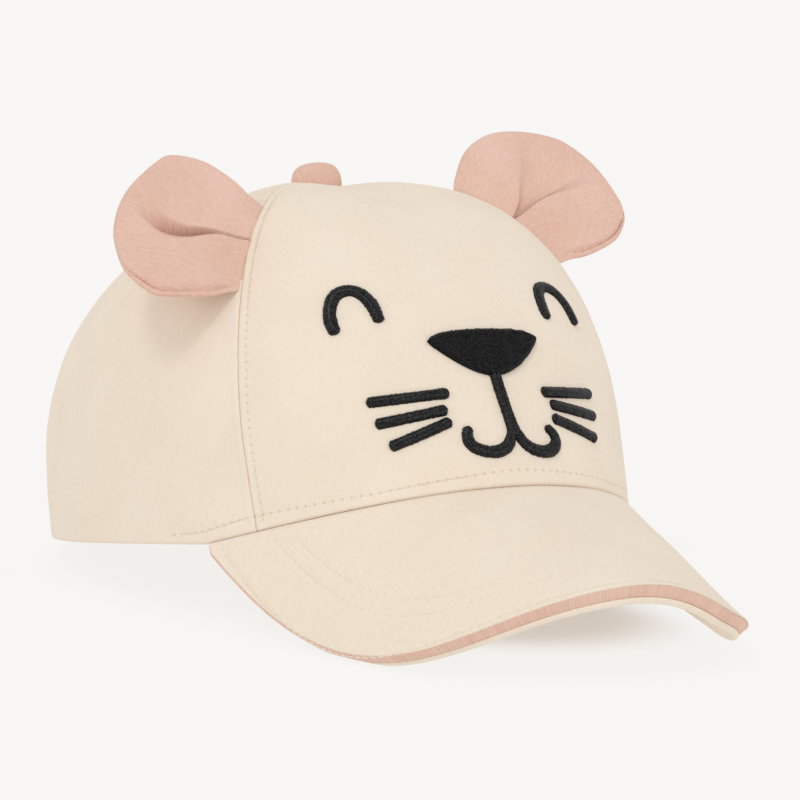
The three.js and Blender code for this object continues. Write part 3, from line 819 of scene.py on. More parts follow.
def peak_layer(name, node, layer, material, rows=()):
    shares = PEAK_END_SHARE * np.sin(np.linspace(-math.pi / 2, math.pi / 2, 181))
    reach = peak_reach(shares) + layer["extra"]
    shares = shares * layer["widen"]
    edge_steps = np.array((5.8, 4.2) + EDGE_STEPS[::-1])
    inner_part = np.linspace(0, 1, 34)[:-1]
    distances = np.array([
        np.concatenate([inner_part * max(0.0, r - edge_steps[0]),
                        r - np.minimum(edge_steps, r * 0.9 * edge_steps / edge_steps[0])])
        for r in reach
    ])
    grid = np.broadcast_to(shares[:, None], distances.shape)
    base = peak_point(grid, distances)
    normals = peak_normal(grid, distances)
    outline = peak_point(shares, reach)
    _, from_edge, _ = nearest_on_line(base, outline)
    x, y, z = np.moveaxis(base, -1, 0)
    ripple = 0.10 * np.sin(x / 9 + 1.1) * np.sin(y / 12 + z / 9) + 0.05 * np.sin(x / 4.1 + y / 5.3)
    inside = smooth(from_edge / PEAK_EDGE_WIDTH)
    depth = layer["edge_depth"] + (layer["depth"] - layer["edge_depth"]) * inside
    thickness = layer["edge_thickness"] + (layer["thickness"] - layer["edge_thickness"]) * inside
    top = -depth + rolled(from_edge, layer["top_roll"]) + ripple
    attributes = {"knit": np.stack([x, -y, np.zeros_like(x)], -1)}
    for label in STITCH_ROWS:
        attributes[label] = np.full(base.shape, NO_ROW)
    for label, row in zip(STITCH_ROWS, rows):
        row_shares, row_reach = peak_row(row["inset"], row["end_share"])
        line = peak_point(row_shares, row_reach)
        values = stitch_attribute(base, normals, line, row)
        attributes[label] = values
        top -= 0.16 * np.exp(-(values[..., 1] / 0.7) ** 2)
        top += 0.06 * np.exp(-((np.abs(values[..., 1]) - 1.4) / 0.8) ** 2)
    low = -depth - thickness - rolled(from_edge, layer["low_roll"]) + ripple
    tucked_turn = shares * PEAK_HALF_TURN
    tucked = crown_at(tucked_turn, hem_height(tucked_turn), -CLOTH_WALL) - np.array([0, 0, LAYER_GAP])
    root_normal = normals[:, 0]

    def sheet(lift, depth_at_root):
        seat = tucked - root_normal * depth_at_root
        return np.concatenate([seat[:, None], base + normals * lift[..., None]], axis=1)

    outer = sheet(top, layer["depth"])
    inner = sheet(low, layer["depth"] + layer["thickness"])
    points = np.concatenate([outer.reshape(-1, 3), inner.reshape(-1, 3)])
    doubled = {}
    for label, values in attributes.items():
        padded = np.concatenate([values[:, :1], values], axis=1).reshape(-1, 3)
        doubled[label] = np.concatenate([padded, padded if label == "knit" else np.full_like(padded, NO_ROW)])
    faces = facing_out(points, shell_faces(outer.shape[0], outer.shape[1]))
    return new_piece(name, points, faces, material, [node], doubled)


PEAK_LAYERS = {
    "top": {"depth": 0.0, "thickness": PEAK_TOP_THICKNESS, "edge_depth": 0.0, "edge_thickness": 0.35,
            "extra": 0.0, "widen": 1.0, "top_roll": 0.32, "low_roll": 0.1},
    "insert": {"depth": PEAK_TOP_THICKNESS + 0.05, "thickness": PEAK_INSERT_THICKNESS + 0.5,
               "edge_depth": 0.28, "edge_thickness": 3.2,
               "extra": 0.1, "widen": 1.007, "top_roll": 0.2, "low_roll": 0.2},
    "under": {"depth": PEAK_TOP_THICKNESS + PEAK_INSERT_THICKNESS + 2 * LAYER_GAP,
              "thickness": PEAK_UNDER_THICKNESS, "edge_depth": 3.5, "edge_thickness": 1.9,
              "extra": 0.45, "widen": 1.010, "top_roll": 0.5, "low_roll": 0.8},
}


def peak():
    peak_layer("peak_top_cloth", "peak_top", PEAK_LAYERS["top"], cream_rows, PEAK_ROWS)
    peak_layer("peak_edge_band", "peak_insert", PEAK_LAYERS["insert"], pink_jersey)
    peak_layer("peak_under_cloth", "peak_under", PEAK_LAYERS["under"], cream_plain)
    rows = []
    for row in PEAK_ROWS:
        shares, reach = peak_row(row["inset"], row["end_share"])
        line = (peak_point(shares, reach), peak_normal(shares, reach))
        rows.append({"line": line, "stitch": row["stitch"]})
    stitches("peak_stitches", rows)


# Embroidery: satin strokes, made of threads laid side by side across each stroke

THREAD_PITCH = 0.42
THREAD_SAMPLES = 5
STROKE_SIDES = 15
STROKE_RISE = 1.25
STROKE_FOOT = -0.25

# Each stroke's middle line, as turns, shares of the crown's height, and widths
STROKES = {
    "eye_right": (
        {
            "turn": (33.95, 34.85, 35.35, 34.75, 33.55, 31.75, 29.75, 27.95, 26.55, 25.45, 24.45),
            "up": (0.519, 0.538, 0.568, 0.598, 0.614, 0.621, 0.62, 0.611, 0.596, 0.577, 0.541),
            "width": (3.0, 3.4, 3.5, 3.5, 3.5, 3.4, 3.4, 3.4, 3.5, 3.4, 2.9),
        },
    ),
    "eye_left": (
        {
            "turn": (-22.3, -22.2, -22.6, -23.3, -24.8, -27.2, -29.4, -31.1, -32.4, -32.9, -32.8),
            "up": (0.539, 0.556, 0.574, 0.594, 0.612, 0.62, 0.616, 0.605, 0.585, 0.561, 0.527),
            "width": (2.9, 3.4, 3.5, 3.5, 3.5, 3.4, 3.4, 3.4, 3.5, 3.4, 2.9),
        },
    ),
    "mouth": (
        {
            "turn": (0.75, 0.45, 0.25, 0.05, 0.15, 0.75, 1.65, 3.15, 4.75, 6.35, 7.85, 9.15, 9.95,
                     9.95, 9.35),
            "up": (0.411, 0.36, 0.323, 0.286, 0.266, 0.251, 0.237, 0.227, 0.223, 0.224, 0.229, 0.237,
                   0.251, 0.268, 0.286),
            "width": (1.75, 1.75, 1.8, 2.0, 2.5, 3.0, 3.3, 3.4, 3.3, 3.3, 3.3, 3.3, 3.2, 3.0, 2.5),
        },
        {
            "turn": (-0.35, -0.65, -0.75, -1.05, -1.25, -1.65, -2.25, -3.25, -4.45, -6.05, -7.85,
                     -9.65, -10.75, -10.75, -10.05, -8.95),
            "up": (0.411, 0.36, 0.323, 0.286, 0.27, 0.257, 0.244, 0.233, 0.225, 0.22, 0.219, 0.225,
                   0.239, 0.256, 0.269, 0.279),
            "width": (1.75, 1.75, 1.8, 2.0, 2.5, 3.0, 3.2, 3.2, 3.3, 3.3, 3.4, 3.4, 3.2, 2.9, 2.7, 2.4),
        },
    ),
    "whisker_right_1": (
        {"turn": (29.0, 11.9), "up": (0.352, 0.368), "width": (3.0, 3.0)},
    ),
    "whisker_right_2": (
        {"turn": (27.8, 13.0), "up": (0.299, 0.329), "width": (3.0, 3.0)},
    ),
    "whisker_right_3": (
        {"turn": (25.7, 12.7), "up": (0.243, 0.301), "width": (3.0, 3.0)},
    ),
    "whisker_left_1": (
        {"turn": (-11.1, -27.8), "up": (0.3635, 0.3565), "width": (3.0, 3.0)},
    ),
    "whisker_left_2": (
        {"turn": (-12.5, -26.8), "up": (0.3335, 0.3005), "width": (3.0, 3.0)},
    ),
    "whisker_left_3": (
        {"turn": (-11.8, -24.9), "up": (0.3005, 0.2455), "width": (3.0, 3.0)},
    ),
}


def between(a, b, c, d, t):
    """A smooth curve from b to c, led by its neighbours a and d."""
    bend = 2 * a - 5 * b + 4 * c - d
    twist = 3 * b - a - 3 * c + d
    return 0.5 * (2 * b + (c - a) * t + bend * t ** 2 + twist * t ** 3)


def smooth_path(stroke, samples=400):
    """A smooth line of turns, heights and widths along the stroke, and how far each sample lies along it."""
    table = np.stack([stroke["turn"], np.array(stroke["up"]) * CROWN_HEIGHT, stroke["width"]], -1)
    ends = np.vstack([2 * table[0] - table[1], table, 2 * table[-1] - table[-2]])
    knots = np.linspace(0, len(table) - 1, samples)
    k = np.minimum(knots.astype(int), len(table) - 2)
    t = (knots - k)[:, None]
    a, b, c, d = (ends[k + i] for i in range(4))
    path = between(a, b, c, d, t)
    spots = crown_point(path[:, 0], path[:, 1])
    gone = np.concatenate([[0], np.cumsum(np.linalg.norm(np.diff(spots, axis=0), axis=1))])
    return path, gone


def satin_stroke(stroke):
    """Points and faces of one satin stroke, with a ridge for each thread and ragged sides."""
    path, gone = smooth_path(stroke)
    length = gone[-1]
    count = int(length / THREAD_PITCH) * THREAD_SAMPLES
    along = np.linspace(0, length, count)
    turn, height, width = (np.interp(along, gone, path[:, k]) for k in range(3))
    threads = (along / THREAD_PITCH).astype(int)
    ragged = rng.normal(0, 0.055, threads.max() + 2)
    phase = along / THREAD_PITCH - threads
    ridge = np.abs(np.sin(math.pi * phase))
    centres = crown_at(turn, height)
    normal = crown_normal(turn, height)
    forward = unit(np.gradient(centres, axis=0))
    side = unit(np.cross(normal, forward))
    from_end = np.minimum(along, length - along)
    cap = np.sqrt(np.clip(1 - (1 - np.minimum(from_end / (width * 0.33), 1)) ** 2, 0.12, 1))
    half = width / 2 * cap * (0.99 + 0.06 * ridge) + ragged[threads] * cap
    tall = STROKE_RISE * (0.35 + 0.65 * cap) * (0.98 + 0.035 * ridge)
    angles = np.linspace(math.pi, 0, STROKE_SIDES)
    rings = []
    for angle in angles:
        sideways = np.cos(angle) * half
        upwards = STROKE_FOOT + (tall - STROKE_FOOT) * np.sin(angle) ** 0.8
        rings.append(centres + side * sideways[:, None] + normal * upwards[:, None])
    points = np.stack(rings, 1)
    faces = grid_faces(count, STROKE_SIDES)
    base = np.arange(count - 1)
    under = np.stack([base * STROKE_SIDES, base * STROKE_SIDES + STROKE_SIDES - 1,
                      (base + 1) * STROKE_SIDES + STROKE_SIDES - 1, (base + 1) * STROKE_SIDES], -1)
    faces += under.tolist()
    faces.append(list(range(STROKE_SIDES)))
    last = (count - 1) * STROKE_SIDES
    faces.append([last + side_index for side_index in range(STROKE_SIDES - 1, -1, -1)])
    flat = points.reshape(-1, 3)
    return flat, facing_out(flat, faces[:-2]) + faces[-2:]


def joined(parts):
    points = []
    faces = []
    for flat, part_faces in parts:
        start = sum(len(p) for p in points)
        points.append(flat)
        faces += [[index + start for index in face] for face in part_faces]
    return np.concatenate(points), faces


def embroidered(node):
    points, faces = joined([satin_stroke(stroke) for stroke in STROKES[node]])
    return new_piece(f"{node}_satin", points, faces, black_thread, [node])


NOSE_RIM = {
    "turn": (0.0, 5.6, 10.6, 13.6, 14.3, 12.2, 8.2, 4.0, 0.0),
    "up": (0.5155, 0.5145, 0.5095, 0.4985, 0.4865, 0.4655, 0.4355, 0.4135, 0.4055),
}
NOSE_RISE = 1.7
NOSE_BORDER = 2.4
NOSE_COLUMNS = 361
NOSE_REACH = 0.985
NOSE_RIM_SCALE = 1.035
NOSE_EDGE_SHARES = (0.0, 0.008, 0.02, 0.04, 0.065, 0.095, 0.13)
NOSE_FOOT = 0.6
FILL_STITCH = 1.3


def nose_edges(turns):
    """The top and bottom heights of the nose at those turns."""
    half = list(zip(NOSE_RIM["turn"], np.array(NOSE_RIM["up"]) * CROWN_HEIGHT))
    table = np.array(half + [(-turn, height) for turn, height in half[-2:0:-1]])
    count = len(table)
    knots = np.linspace(0, count, 841)[:-1]
    k = knots.astype(int)
    t = (knots - k)[:, None]
    a, b, c, d = (table[(k + i - 1) % count] for i in range(4))
    rim = between(a, b, c, d, t)
    rim_middle = rim.mean(axis=0)
    right = rim[:, 0].argmax()
    left = rim[:, 0].argmin()
    low = rim[right:left + 1]
    high = np.concatenate([rim[left:], rim[:right + 1]])
    rim = rim_middle + (rim - rim_middle) * NOSE_RIM_SCALE
    reach = rim[right, 0] * NOSE_REACH
    turns = turns * reach
    return turns, np.interp(turns, high[:, 0], high[:, 1]), np.interp(-turns, -low[:, 0], low[:, 1]), rim


def nose():
    """A domed patch of fill stitches: upright threads, staggered in short lengths."""
    sweep = np.linspace(-1, 1, NOSE_COLUMNS) * math.pi / 2 * NOSE_REACH
    turn, high, low, rim = nose_edges(np.sin(sweep) / math.sin(math.pi / 2 * NOSE_REACH))
    edge = np.array(NOSE_EDGE_SHARES)
    shares = np.concatenate([edge, np.linspace(0.165, 0.835, 40), 1 - edge[::-1]])
    turn = turn[:, None] + np.zeros(len(shares))
    height = low[:, None] + (high - low)[:, None] * shares
    base = crown_point(turn, height)
    normal = crown_normal(turn, height)
    closed = np.vstack([rim, rim[:1]])
    _, from_rim, _ = nearest_on_line(base, crown_point(closed[::4, 0], closed[::4, 1]))
    across = base[..., 0]
    thread_number = np.floor(across / THREAD_PITCH).astype(int) + 200
    ridge = np.abs(np.sin(math.pi * across / THREAD_PITCH))
    shifts = rng.uniform(0, FILL_STITCH, 400)
    phase = (height + shifts[thread_number]) / FILL_STITCH
    dip = np.exp(-((phase - np.round(phase)) * FILL_STITCH / 0.22) ** 2)
    body = np.sqrt(np.clip(1 - (1 - np.minimum(from_rim / NOSE_BORDER, 1)) ** 2, 0, 1))
    fill = smooth((from_rim - 1.2) / 1.2)
    lift = STROKE_FOOT + (NOSE_RISE - STROKE_FOOT) * body - 0.28 * fill
    lift += (0.10 * ridge - 0.24 * dip * fill) * body
    lift += rng.normal(0, 0.03, 400)[thread_number] * body
    ragged = rng.normal(0, 0.06, 400)[thread_number] * (from_rim < 0.7)
    up_and_down = np.where(shares > 0.5, 1.0, -1.0) * ragged
    points = base + normal * lift[..., None] + np.stack([0 * lift, 0 * lift, up_and_down], -1)
    floor_points = base - normal * NOSE_FOOT
    flat = np.concatenate([points.reshape(-1, 3), floor_points.reshape(-1, 3)])
    faces = facing_out(flat, shell_faces(*turn.shape))
    return new_piece("nose_fill_stitches", flat, faces, black_fill, ["nose"])


def face():
    for node in STROKES:
        embroidered(node)
    nose()


# Button: a covered dome on the apex

BUTTON_RADIUS = 6.75
BUTTON_HEIGHT = 7.3
BUTTON_SHIFT = (-1.3, 0.0, 0.4)
BUTTON_COLUMNS = 96
BUTTON_RINGS = 61
BUTTON_PLEATS = 11
PLEAT_DEPTH = 0.10
# The dome's outline, as shares of its radius and its height
BUTTON_PROFILE = {
    "out": (0.9, 0.97, 1.01, 1.02, 1.01, 0.97, 0.9, 0.77, 0.58, 0.32, 0.02),
    "up": (-0.12, 0.0, 0.12, 0.26, 0.42, 0.58, 0.74, 0.88, 0.97, 1.02, 1.03),
}


def button():
    lean = unit(np.array([0.0, FORWARD_SWELL * 0.4, 1.0]))
    apex = crown_point(0.0, CROWN_HEIGHT) + np.array(BUTTON_SHIFT)
    ahead = unit(np.cross([1.0, 0.0, 0.0], lean))
    places = range(len(BUTTON_PROFILE["out"]))
    along = np.linspace(0, places[-1], BUTTON_RINGS)
    out = np.interp(along, places, BUTTON_PROFILE["out"]) * BUTTON_RADIUS
    rise = np.interp(along, places, BUTTON_PROFILE["up"]) * BUTTON_HEIGHT
    kernel = np.array([0.25, 0.5, 0.25])
    for _ in range(6):
        out[1:-1] = np.convolve(out, kernel, "valid")
        rise[1:-1] = np.convolve(rise, kernel, "valid")
    spin = np.linspace(0, 2 * math.pi, BUTTON_COLUMNS + 1)[:-1]
    pleat = PLEAT_DEPTH * np.sin(spin * BUTTON_PLEATS)
    low = np.exp(-(rise / 1.6) ** 2)
    radius = out[None, :] + pleat[:, None] * low[None, :]
    x = np.cos(spin)[:, None] * radius
    y = np.sin(spin)[:, None] * radius
    points = apex + x[..., None] * np.array([1.0, 0, 0]) + y[..., None] * ahead + rise[None, :, None] * lean
    faces = grid_faces(len(spin), len(out), close_columns=True)
    faces.append([i * len(out) for i in range(len(spin) - 1, -1, -1)])
    faces.append([i * len(out) + len(out) - 1 for i in range(len(spin))])
    flat = points.reshape(-1, 3)
    over = np.arctan2(y, rise[None, :] + 1.5) * BUTTON_RADIUS
    knit = np.stack([x, over, np.zeros_like(x)], -1)
    return new_piece("button_cover", flat, facing_out(flat, faces), pink_jersey, ["button"],
                     {"knit": knit})


# Ears: two cloths sewn at the rim, softly filled, folded by one tuck at the base

EAR_RIM_ROLL = 1.5
EAR_FILL = 2.3
EARS = (
    {
        "name": "ear_right_padded", "node": "ear_right", "mirror": 1, "low": 0.654, "high": 0.876,
        "out": (-1.0, 0.29, 0.19), "lean": (-0.11, 0.0, 0.055), "upper_knit": 48.0, "lower_knit": -3.0,
        "base_low": -12.6, "base_high": 15.1,
        "tuck": {"root": 0.8, "deep": 10.5, "opens": 7.0, "full": 13.5, "fades": 15.0, "ends": 31.0,
                 "edge": 2.0, "floor": 0.0, "wall": 1.0, "spread": 0.32, "spread_from": 7.0, "lip": 0.5},
        "cup": 3.0,
        "rim": {
            "angle": (-84.0, -67.0, -52.0, -40.0, -24.0, -5.0, 14.0, 32.0, 42.0, 50.0, 60.0, 66.0,
                      74.0, 89.0, 104.0),
            "reach": (12.0, 16.6, 24.2, 32.6, 35.8, 35.7, 34.6, 33.5, 33.5, 33.9, 30.6, 28.3, 24.4,
                      18.8, 16.2),
        },
        "crease": {
            "along": (0.0, 4.0, 8.0, 12.0, 16.0, 20.0, 24.0, 28.0, 34.0),
            "across": (1.6, 1.6, 1.2, 0.2, -1.0, -1.4, -0.9, 2.0, 8.0),
        },
    },
    {
        "name": "ear_left_padded", "node": "ear_left", "mirror": -1, "low": 0.727, "high": 0.92,
        "out": (-1.0, 0.21, 0.40), "lean": (-0.23, 0.0, 0.115), "upper_knit": 34.0, "lower_knit": 1.0,
        "base_low": -13.4, "base_high": 16.0,
        "tuck": {"root": 1.9, "deep": 2.7, "opens": 2.0, "full": 8.0, "fades": 12.0, "ends": 31.0,
                 "edge": 6.0, "floor": 0.50, "wall": 0.5, "spread": 0.55, "spread_from": 4.0, "lip": 0.15},
        "cup": 2.2,
        "rim": {
            "angle": (-85.0, -66.0, -51.0, -38.0, -24.0, -18.0, -10.0, 9.0, 26.0, 40.0, 61.0, 80.0,
                      92.0, 104.0),
            "reach": (13.7, 16.9, 23.0, 28.8, 33.0, 33.7, 33.8, 35.3, 35.9, 33.9, 31.0, 26.9, 22.8,
                      19.8),
        },
        "crease": {
            "along": (0.0, 8.5, 17.0, 24.0, 36.0),
            "across": (1.7, 2.2, 2.2, 0.8, -2.0),
        },
    },
)


def ear_frame(ear):
    low = ear["low"] * CROWN_HEIGHT
    high = ear["high"] * CROWN_HEIGHT
    foot = crown_point(front_seam(low), low)
    top = crown_point(front_seam(high), high)
    middle_height = (low + high) / 2
    middle = crown_point(front_seam(middle_height), middle_height)
    base_up = unit(top - foot)
    out = unit(np.array(ear["out"]))
    face_normal = unit(np.cross(unit(base_up + np.array(ear["lean"])), out))
    across = unit(np.cross(out, face_normal))
    return middle, out, across, face_normal, base_up


def smooth_rim(ear, angles):
    rim = ear["rim"]
    fine = np.linspace(rim["angle"][0], rim["angle"][-1], 400)
    reach = np.interp(fine, rim["angle"], rim["reach"])
    kernel = np.hanning(23)
    kernel /= kernel.sum()
    padded = np.concatenate([2 * reach[0] - reach[11:0:-1], reach, 2 * reach[-1] - reach[-2:-13:-1]])
    return np.interp(angles, fine, np.convolve(padded, kernel, "valid"))


def crease_at(ear, along):
    crease = ear["crease"]
    fine = np.linspace(0, crease["along"][-1], 200)
    line = np.interp(fine, crease["along"], crease["across"])
    kernel = np.hanning(25)
    kernel /= kernel.sum()
    padded = np.concatenate([2 * line[0] - line[12:0:-1], line, 2 * line[-1] - line[-2:-14:-1]])
    return np.interp(along, fine, np.convolve(padded, kernel, "valid"))


BACK_TUCK = 0.38
BACK_TUCK_WIDTH = 6.0


def tuck_shape(ear, along, across):
    """How far the tuck pushes the front cloth back, in a crisp fold, and the back cloth, softly."""
    tuck = ear["tuck"]
    above = across - crease_at(ear, along)
    opened = smooth((along - tuck["opens"]) / (tuck["full"] - tuck["opens"]))
    faded = 1 - smooth((along - tuck["fades"]) / (tuck["ends"] - tuck["fades"]))
    depth = (tuck["root"] + (tuck["deep"] - tuck["root"]) * opened) * faded
    edge = 0.4 + tuck["edge"] * smooth((along - 14) / 16)
    floor = tuck["floor"] * np.maximum(along, 0)
    wall = tuck["wall"] + tuck["spread"] * np.maximum(along - tuck["spread_from"], 0)
    drop = smooth(above / edge) * (1 - smooth((above - edge - floor) / wall))
    fold = np.where(above > 0, np.exp(-(above / edge) ** 2), np.exp(-(above / 4.0) ** 2))
    front = tuck["lip"] * fold * (1 - smooth((along - 12) / 12)) - depth * drop
    back = -BACK_TUCK * depth * np.exp(-((above - edge) / BACK_TUCK_WIDTH) ** 2)
    return front, back


EAR_SKIRT = 3.0
EAR_STRIP = 1.35
RIM_STEPS = np.array([
    7.5, 6.2, 5.0, 4.1, 3.4, 2.9, 2.5, 2.2, 1.95, 1.78, 1.64, 1.52, 1.44,
    1.38, 1.32, 1.24, 1.12, 0.96, 0.8, 0.64, 0.48, 0.34, 0.22, 0.12, 0.04, 0.0,
])


def ear_grid(ear):
    """Columns from inside the seam out to the rim: distances out of the head and across the ear."""
    first = ear["rim"]["angle"][0]
    last = ear["rim"]["angle"][-1]
    angles = np.unique(np.concatenate([np.linspace(first, last, 201), np.linspace(-12, 26, 91)]))
    reach = smooth_rim(ear, angles)
    _, out, across_way, _, base_up = ear_frame(ear)
    base = ear["base_low"] + (ear["base_high"] - ear["base_low"]) * (angles - first) / (last - first)
    start = np.stack([base * np.dot(base_up, out) - EAR_SKIRT, base * np.dot(base_up, across_way)], -1)
    rim = np.stack([reach * np.cos(np.radians(angles)), reach * np.sin(np.radians(angles))], -1)
    length = np.linalg.norm(rim - start, axis=1)
    columns = []
    for k in range(len(angles)):
        steps = RIM_STEPS * min(1.0, length[k] / 12)
        gone = np.concatenate([np.linspace(0, length[k] - steps[0], 46)[:-1], length[k] - steps])
        columns.append(start[k] + (rim[k] - start[k]) * (gone / length[k])[:, None])
    grid = np.array(columns)
    outline = np.concatenate([rim, np.zeros((len(rim), 1))], -1)
    flat = np.concatenate([grid, np.zeros(grid.shape[:-1] + (1,))], -1)
    _, from_rim, _ = nearest_on_line(flat, outline)
    return angles, grid[..., 0], grid[..., 1], from_rim


def ear_knit(ear, along, across):
    """Cloth coordinates whose ribs turn from the lower lobe's way to the upper lobe's."""
    above = across - crease_at(ear, along)
    soft = 0.8 + 0.22 * np.maximum(along - 10, 0)
    swing = (ear["upper_knit"] - ear["lower_knit"]) * smooth(above / soft + 0.3)
    turned = np.radians(ear["lower_knit"] + swing)
    tip = along - 33.0
    u = across * np.cos(turned) - tip * np.sin(turned)
    v = tip * np.cos(turned) + across * np.sin(turned)
    return np.stack([u, v, np.zeros_like(u)], -1)


def ear_shape(ear):
    """The front and back surfaces of an ear, and the cloth coordinates on both."""
    middle, out, across_way, face_normal, base_up = ear_frame(ear)
    angles, along, across, from_rim = ear_grid(ear)
    base_across = across / np.dot(base_up, across_way)
    base_along = along - base_across * np.dot(base_up, out)

    cup = ear["cup"] * np.sin(math.pi * np.clip(along / 35.0, 0, 1)) * smooth(from_rim / 14)
    wave = 0.22 * np.sin(along / 6.5 + across / 5.0) * np.sin(across / 7.0 + 1.0)
    middle_lift = wave * smooth(from_rim / 5) - cup
    front_tuck, back_tuck = (push * smooth(from_rim / 6) for push in tuck_shape(ear, along, across))
    sewn = 0.12 + 0.88 * smooth(base_along / 8)
    strip = EAR_STRIP * smooth((-14 - angles) / 22)[:, None] + np.zeros_like(along)
    within = np.maximum(from_rim - strip, 0)
    low_rim = strip / EAR_STRIP
    lip = -0.35 * low_rim
    front_roll = lip + (EAR_RIM_ROLL - lip) * np.sqrt(1 - np.clip(1 - within / EAR_RIM_ROLL, 0, 1) ** 2)
    bulge = np.sqrt(np.clip(1 - (from_rim / np.maximum(strip, 0.01) * 2 - 1) ** 2, 0, 1))
    strip_lift = lip * (from_rim / np.maximum(strip, 0.01)) + 0.85 * low_rim * bulge
    front_roll = np.where(from_rim < strip, strip_lift, front_roll)
    back_roll = EAR_RIM_ROLL + rolled(from_rim, EAR_RIM_ROLL)
    fill = EAR_FILL * (1 - np.exp(-(from_rim / 7.0) ** 2)) * smooth((base_along + 1) / 14)
    tucked_under = 0.9 * np.minimum(base_along, 0)
    front_lift = middle_lift + front_tuck + (front_roll + fill) * sewn + tucked_under
    back_lift = middle_lift * 0.75 + back_tuck - (back_roll + fill) * sewn + tucked_under

    highest = min(ear["high"] * CROWN_HEIGHT + 5, CROWN_HEIGHT - 0.2)
    heights = np.linspace(ear["low"] * CROWN_HEIGHT - 8, highest, 90)
    seam = crown_point(front_seam(heights), heights) - middle
    seam_across = seam @ base_up
    bow = np.stack([np.interp(base_across, seam_across, seam[:, k] - seam_across * base_up[k])
                    for k in range(3)], -1)
    bow *= (np.clip(1 - base_along / 16.0, 0, 1) ** 2)[..., None]

    def surface(lift):
        shape = middle + out * along[..., None] + across_way * across[..., None]
        shape = shape + face_normal * lift[..., None] + bow
        return shape * np.array([ear["mirror"], 1.0, 1.0])

    return surface(front_lift), surface(back_lift), ear_knit(ear, along, across)


def ear(ear):
    front, back, knit = ear_shape(ear)
    points = np.concatenate([front.reshape(-1, 3), back.reshape(-1, 3)])
    faces = facing_out(points, shell_faces(*front.shape[:2]))
    piece = new_piece(ear["name"], points, faces, pink_jersey, [ear["node"]],
                      {"knit": np.concatenate([knit.reshape(-1, 3)] * 2)})
    return piece


# Back strap: a plain strip inside the arch

STRAP_HEIGHT = 15.0
STRAP_THICKNESS = 1.6
STRAP_LAP_TURN = 6.0
STRAP_DEPTH = CLOTH_WALL + 0.3


def back_strap():
    half_turn = BACK_ARCH_HALF_TURN + STRAP_LAP_TURN
    turns, heights = np.meshgrid(
        np.linspace(180 - half_turn, 180 + half_turn, 90),
        np.concatenate([EDGE_STEPS, np.linspace(3.6, STRAP_HEIGHT - 3.6, 8),
                        STRAP_HEIGHT - np.array(EDGE_STEPS[::-1])]),
        indexing="ij",
    )
    from_edge = np.minimum(heights, STRAP_HEIGHT - heights)
    base = crown_point(turns, heights)
    normals = crown_normal(turns, heights)
    ripple = 0.06 * np.sin(turns * 1.1) * np.sin(heights / 3)
    outer = base + normals * (-STRAP_DEPTH + rolled(from_edge, 0.6) + ripple)[..., None]
    inner = base + normals * (-STRAP_DEPTH - STRAP_THICKNESS - rolled(from_edge, 0.6) + ripple)[..., None]
    points = np.concatenate([outer.reshape(-1, 3), inner.reshape(-1, 3)])
    knit = knit_coordinates(base).reshape(-1, 3)
    faces = facing_out(points, shell_faces(*turns.shape))
    new_piece("back_strap_cloth", points, faces, cream_plain, ["back_strap"],
              {"knit": np.concatenate([knit, knit])})
    line = np.linspace(180 - half_turn + 0.5, 180 + half_turn - 0.5, 90)
    return [{"line": (crown_at(line, height, -STRAP_DEPTH), crown_normal(line, height)), "stitch": HEM_STITCH}
            for height in (2.2, STRAP_HEIGHT - 2.2)]


# Camera, floor and light

CAMERA_AZIMUTH = math.radians(-30.9)
CAMERA_ELEVATION = math.radians(0.2)
CAMERA_ROLL = math.radians(-1.7)
CAMERA_DISTANCE = 1200.0
CAMERA_LENS = 198.99
AIM = np.array([16.967, -10.011, 35.2])


def camera():
    a = CAMERA_AZIMUTH
    e = CAMERA_ELEVATION
    back = np.array([math.sin(a) * math.cos(e), -math.cos(a) * math.cos(e), math.sin(e)])
    right = np.array([math.cos(a), math.sin(a), 0.0])
    up = np.cross(back, right)
    rolled_right = right * math.cos(CAMERA_ROLL) + up * math.sin(CAMERA_ROLL)
    rolled_up = np.cross(back, rolled_right)
    spot = place(AIM + back * CAMERA_DISTANCE)
    turned = [pitched(axis) for axis in (rolled_right, rolled_up, back)]
    matrix = Matrix.Identity(4)
    for column, axis in enumerate(turned):
        for row in range(3):
            matrix[row][column] = axis[row]
    matrix.translation = Vector(spot)
    data = bpy.data.cameras.new("camera")
    data.lens = CAMERA_LENS
    data.sensor_width = 36.0
    data.clip_end = 20.0
    shot = bpy.data.objects.new("camera", data)
    shot.matrix_world = matrix
    bpy.context.scene.collection.objects.link(shot)
    bpy.context.scene.camera = shot


# Painted light on the floor: its glow in the patch under the cap's front and around it, and where that patch
# lies
FLOOR_GLOW_NEAR = 0.30
FLOOR_GLOW_FAR = 0.88
FLOOR_LIGHT = 0.965
FLOOR_LEVEL = 1.003
SHADE_MIDDLE = (0.018, -0.020)
SHADE_REACH = (0.052, 0.062)


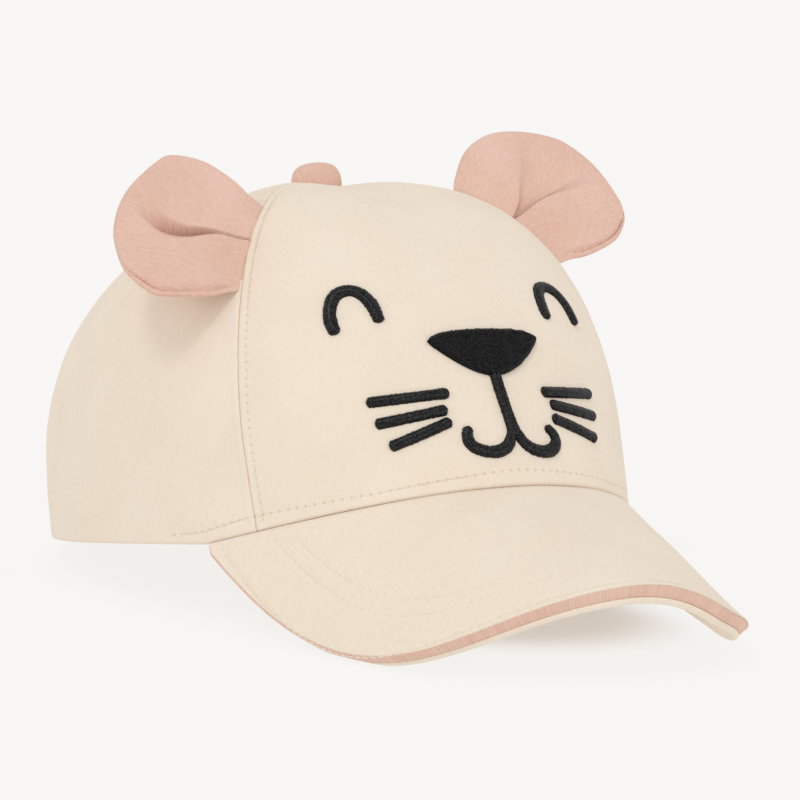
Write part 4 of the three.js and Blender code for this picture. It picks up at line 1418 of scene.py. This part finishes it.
def floor():
    """A pale surface that glows though it is no lamp, which is painted light: the glow fills in the floor's
    shadows, and it is weaker in a patch under the front of the cap so that a shadow shows there.
    """
    mesh = bpy.data.meshes.new("floor")
    reach = 6.0
    mesh.from_pydata([(-reach, -reach, 0), (reach, -reach, 0), (reach, reach, 0), (-reach, reach, 0)],
                     [], [[0, 1, 2, 3]])
    ground = bpy.data.objects.new("floor", mesh)
    ground.location.z = -0.0003
    bpy.context.scene.collection.objects.link(ground)
    material = bpy.data.materials.new("pale_floor")
    nodes, links = nodes_of(material)
    shader = nodes["Principled BSDF"]
    noise = nodes.new("ShaderNodeTexNoise")
    noise.inputs["Scale"].default_value = 3.0
    ramp = nodes.new("ShaderNodeValToRGB")
    ramp.color_ramp.elements[0].color = (0.930, 0.922, 0.906, 1)
    ramp.color_ramp.elements[1].color = (0.934, 0.926, 0.910, 1)
    spot = nodes.new("ShaderNodeMapping")
    spot.vector_type = "TEXTURE"
    spot.inputs["Location"].default_value = (*SHADE_MIDDLE, 0)
    spot.inputs["Scale"].default_value = (*SHADE_REACH, 1)
    links.new(nodes.new("ShaderNodeTexCoord").outputs["Object"], spot.inputs["Vector"])
    away = nodes.new("ShaderNodeVectorMath")
    away.operation = "LENGTH"
    links.new(spot.outputs[0], away.inputs[0])
    m = Maths(material)
    # painted light: weak glow inside the patch and strong glow outside it, which fills in the floor's shadow
    # there
    glow = m.range(away.outputs["Value"], 0.60, 1.12, FLOOR_GLOW_NEAR, FLOOR_GLOW_FAR)
    dim = nodes.new("ShaderNodeVectorMath")
    dim.operation = "SCALE"
    links.new(m.math("SUBTRACT", 1.0, glow), dim.inputs["Scale"])
    links.new(noise.outputs["Fac"], ramp.inputs["Fac"])
    links.new(ramp.outputs["Color"], dim.inputs[0])
    links.new(dim.outputs[0], shader.inputs["Base Color"])
    links.new(ramp.outputs["Color"], shader.inputs["Emission Color"])
    strength = m.math("ADD", m.math("MULTIPLY", glow, FLOOR_LIGHT), FLOOR_LEVEL - FLOOR_LIGHT)
    links.new(strength, shader.inputs["Emission Strength"])
    shader.inputs["Roughness"].default_value = 1.0
    shader.inputs["Specular IOR Level"].default_value = 0.0
    mesh.materials.append(material)


SKY_STRENGTH = 0.80
SUNS = (
    {"name": "key", "azimuth": -58.0, "elevation": 54.0, "strength": 0.46, "spread": 14.0},
    {"name": "front", "azimuth": 14.0, "elevation": 16.0, "strength": 0.32, "spread": 12.0},
    {"name": "side", "azimuth": -95.0, "elevation": 28.0, "strength": 0.13, "spread": 12.0},
)


def lights():
    for sun in SUNS:
        data = bpy.data.lights.new(sun["name"], "SUN")
        data.energy = sun["strength"]
        data.angle = math.radians(sun["spread"])
        lamp = bpy.data.objects.new(sun["name"], data)
        azimuth = math.radians(sun["azimuth"])
        elevation = math.radians(sun["elevation"])
        towards = Vector((math.sin(azimuth) * math.cos(elevation), -math.cos(azimuth) * math.cos(elevation),
                          math.sin(elevation)))
        lamp.rotation_euler = towards.to_track_quat("Z", "Y").to_euler()
        bpy.context.scene.collection.objects.link(lamp)
    world = bpy.data.worlds.new("studio")
    world.use_nodes = True
    background = world.node_tree.nodes["Background"]
    background.inputs["Color"].default_value = (1.0, 1.0, 1.0, 1)
    background.inputs["Strength"].default_value = SKY_STRENGTH
    bpy.context.scene.world = world
    bpy.context.scene.view_settings.view_transform = "Standard"


camera()
floor()
lights()
for panel in PANELS:
    crown_panel(panel)
strap_rows = back_strap()
stitches("crown_stitches", list(CROWN_ROWS.values()) + strap_rows)
peak()
face()
button()
for setting in EARS:
    ear(setting)
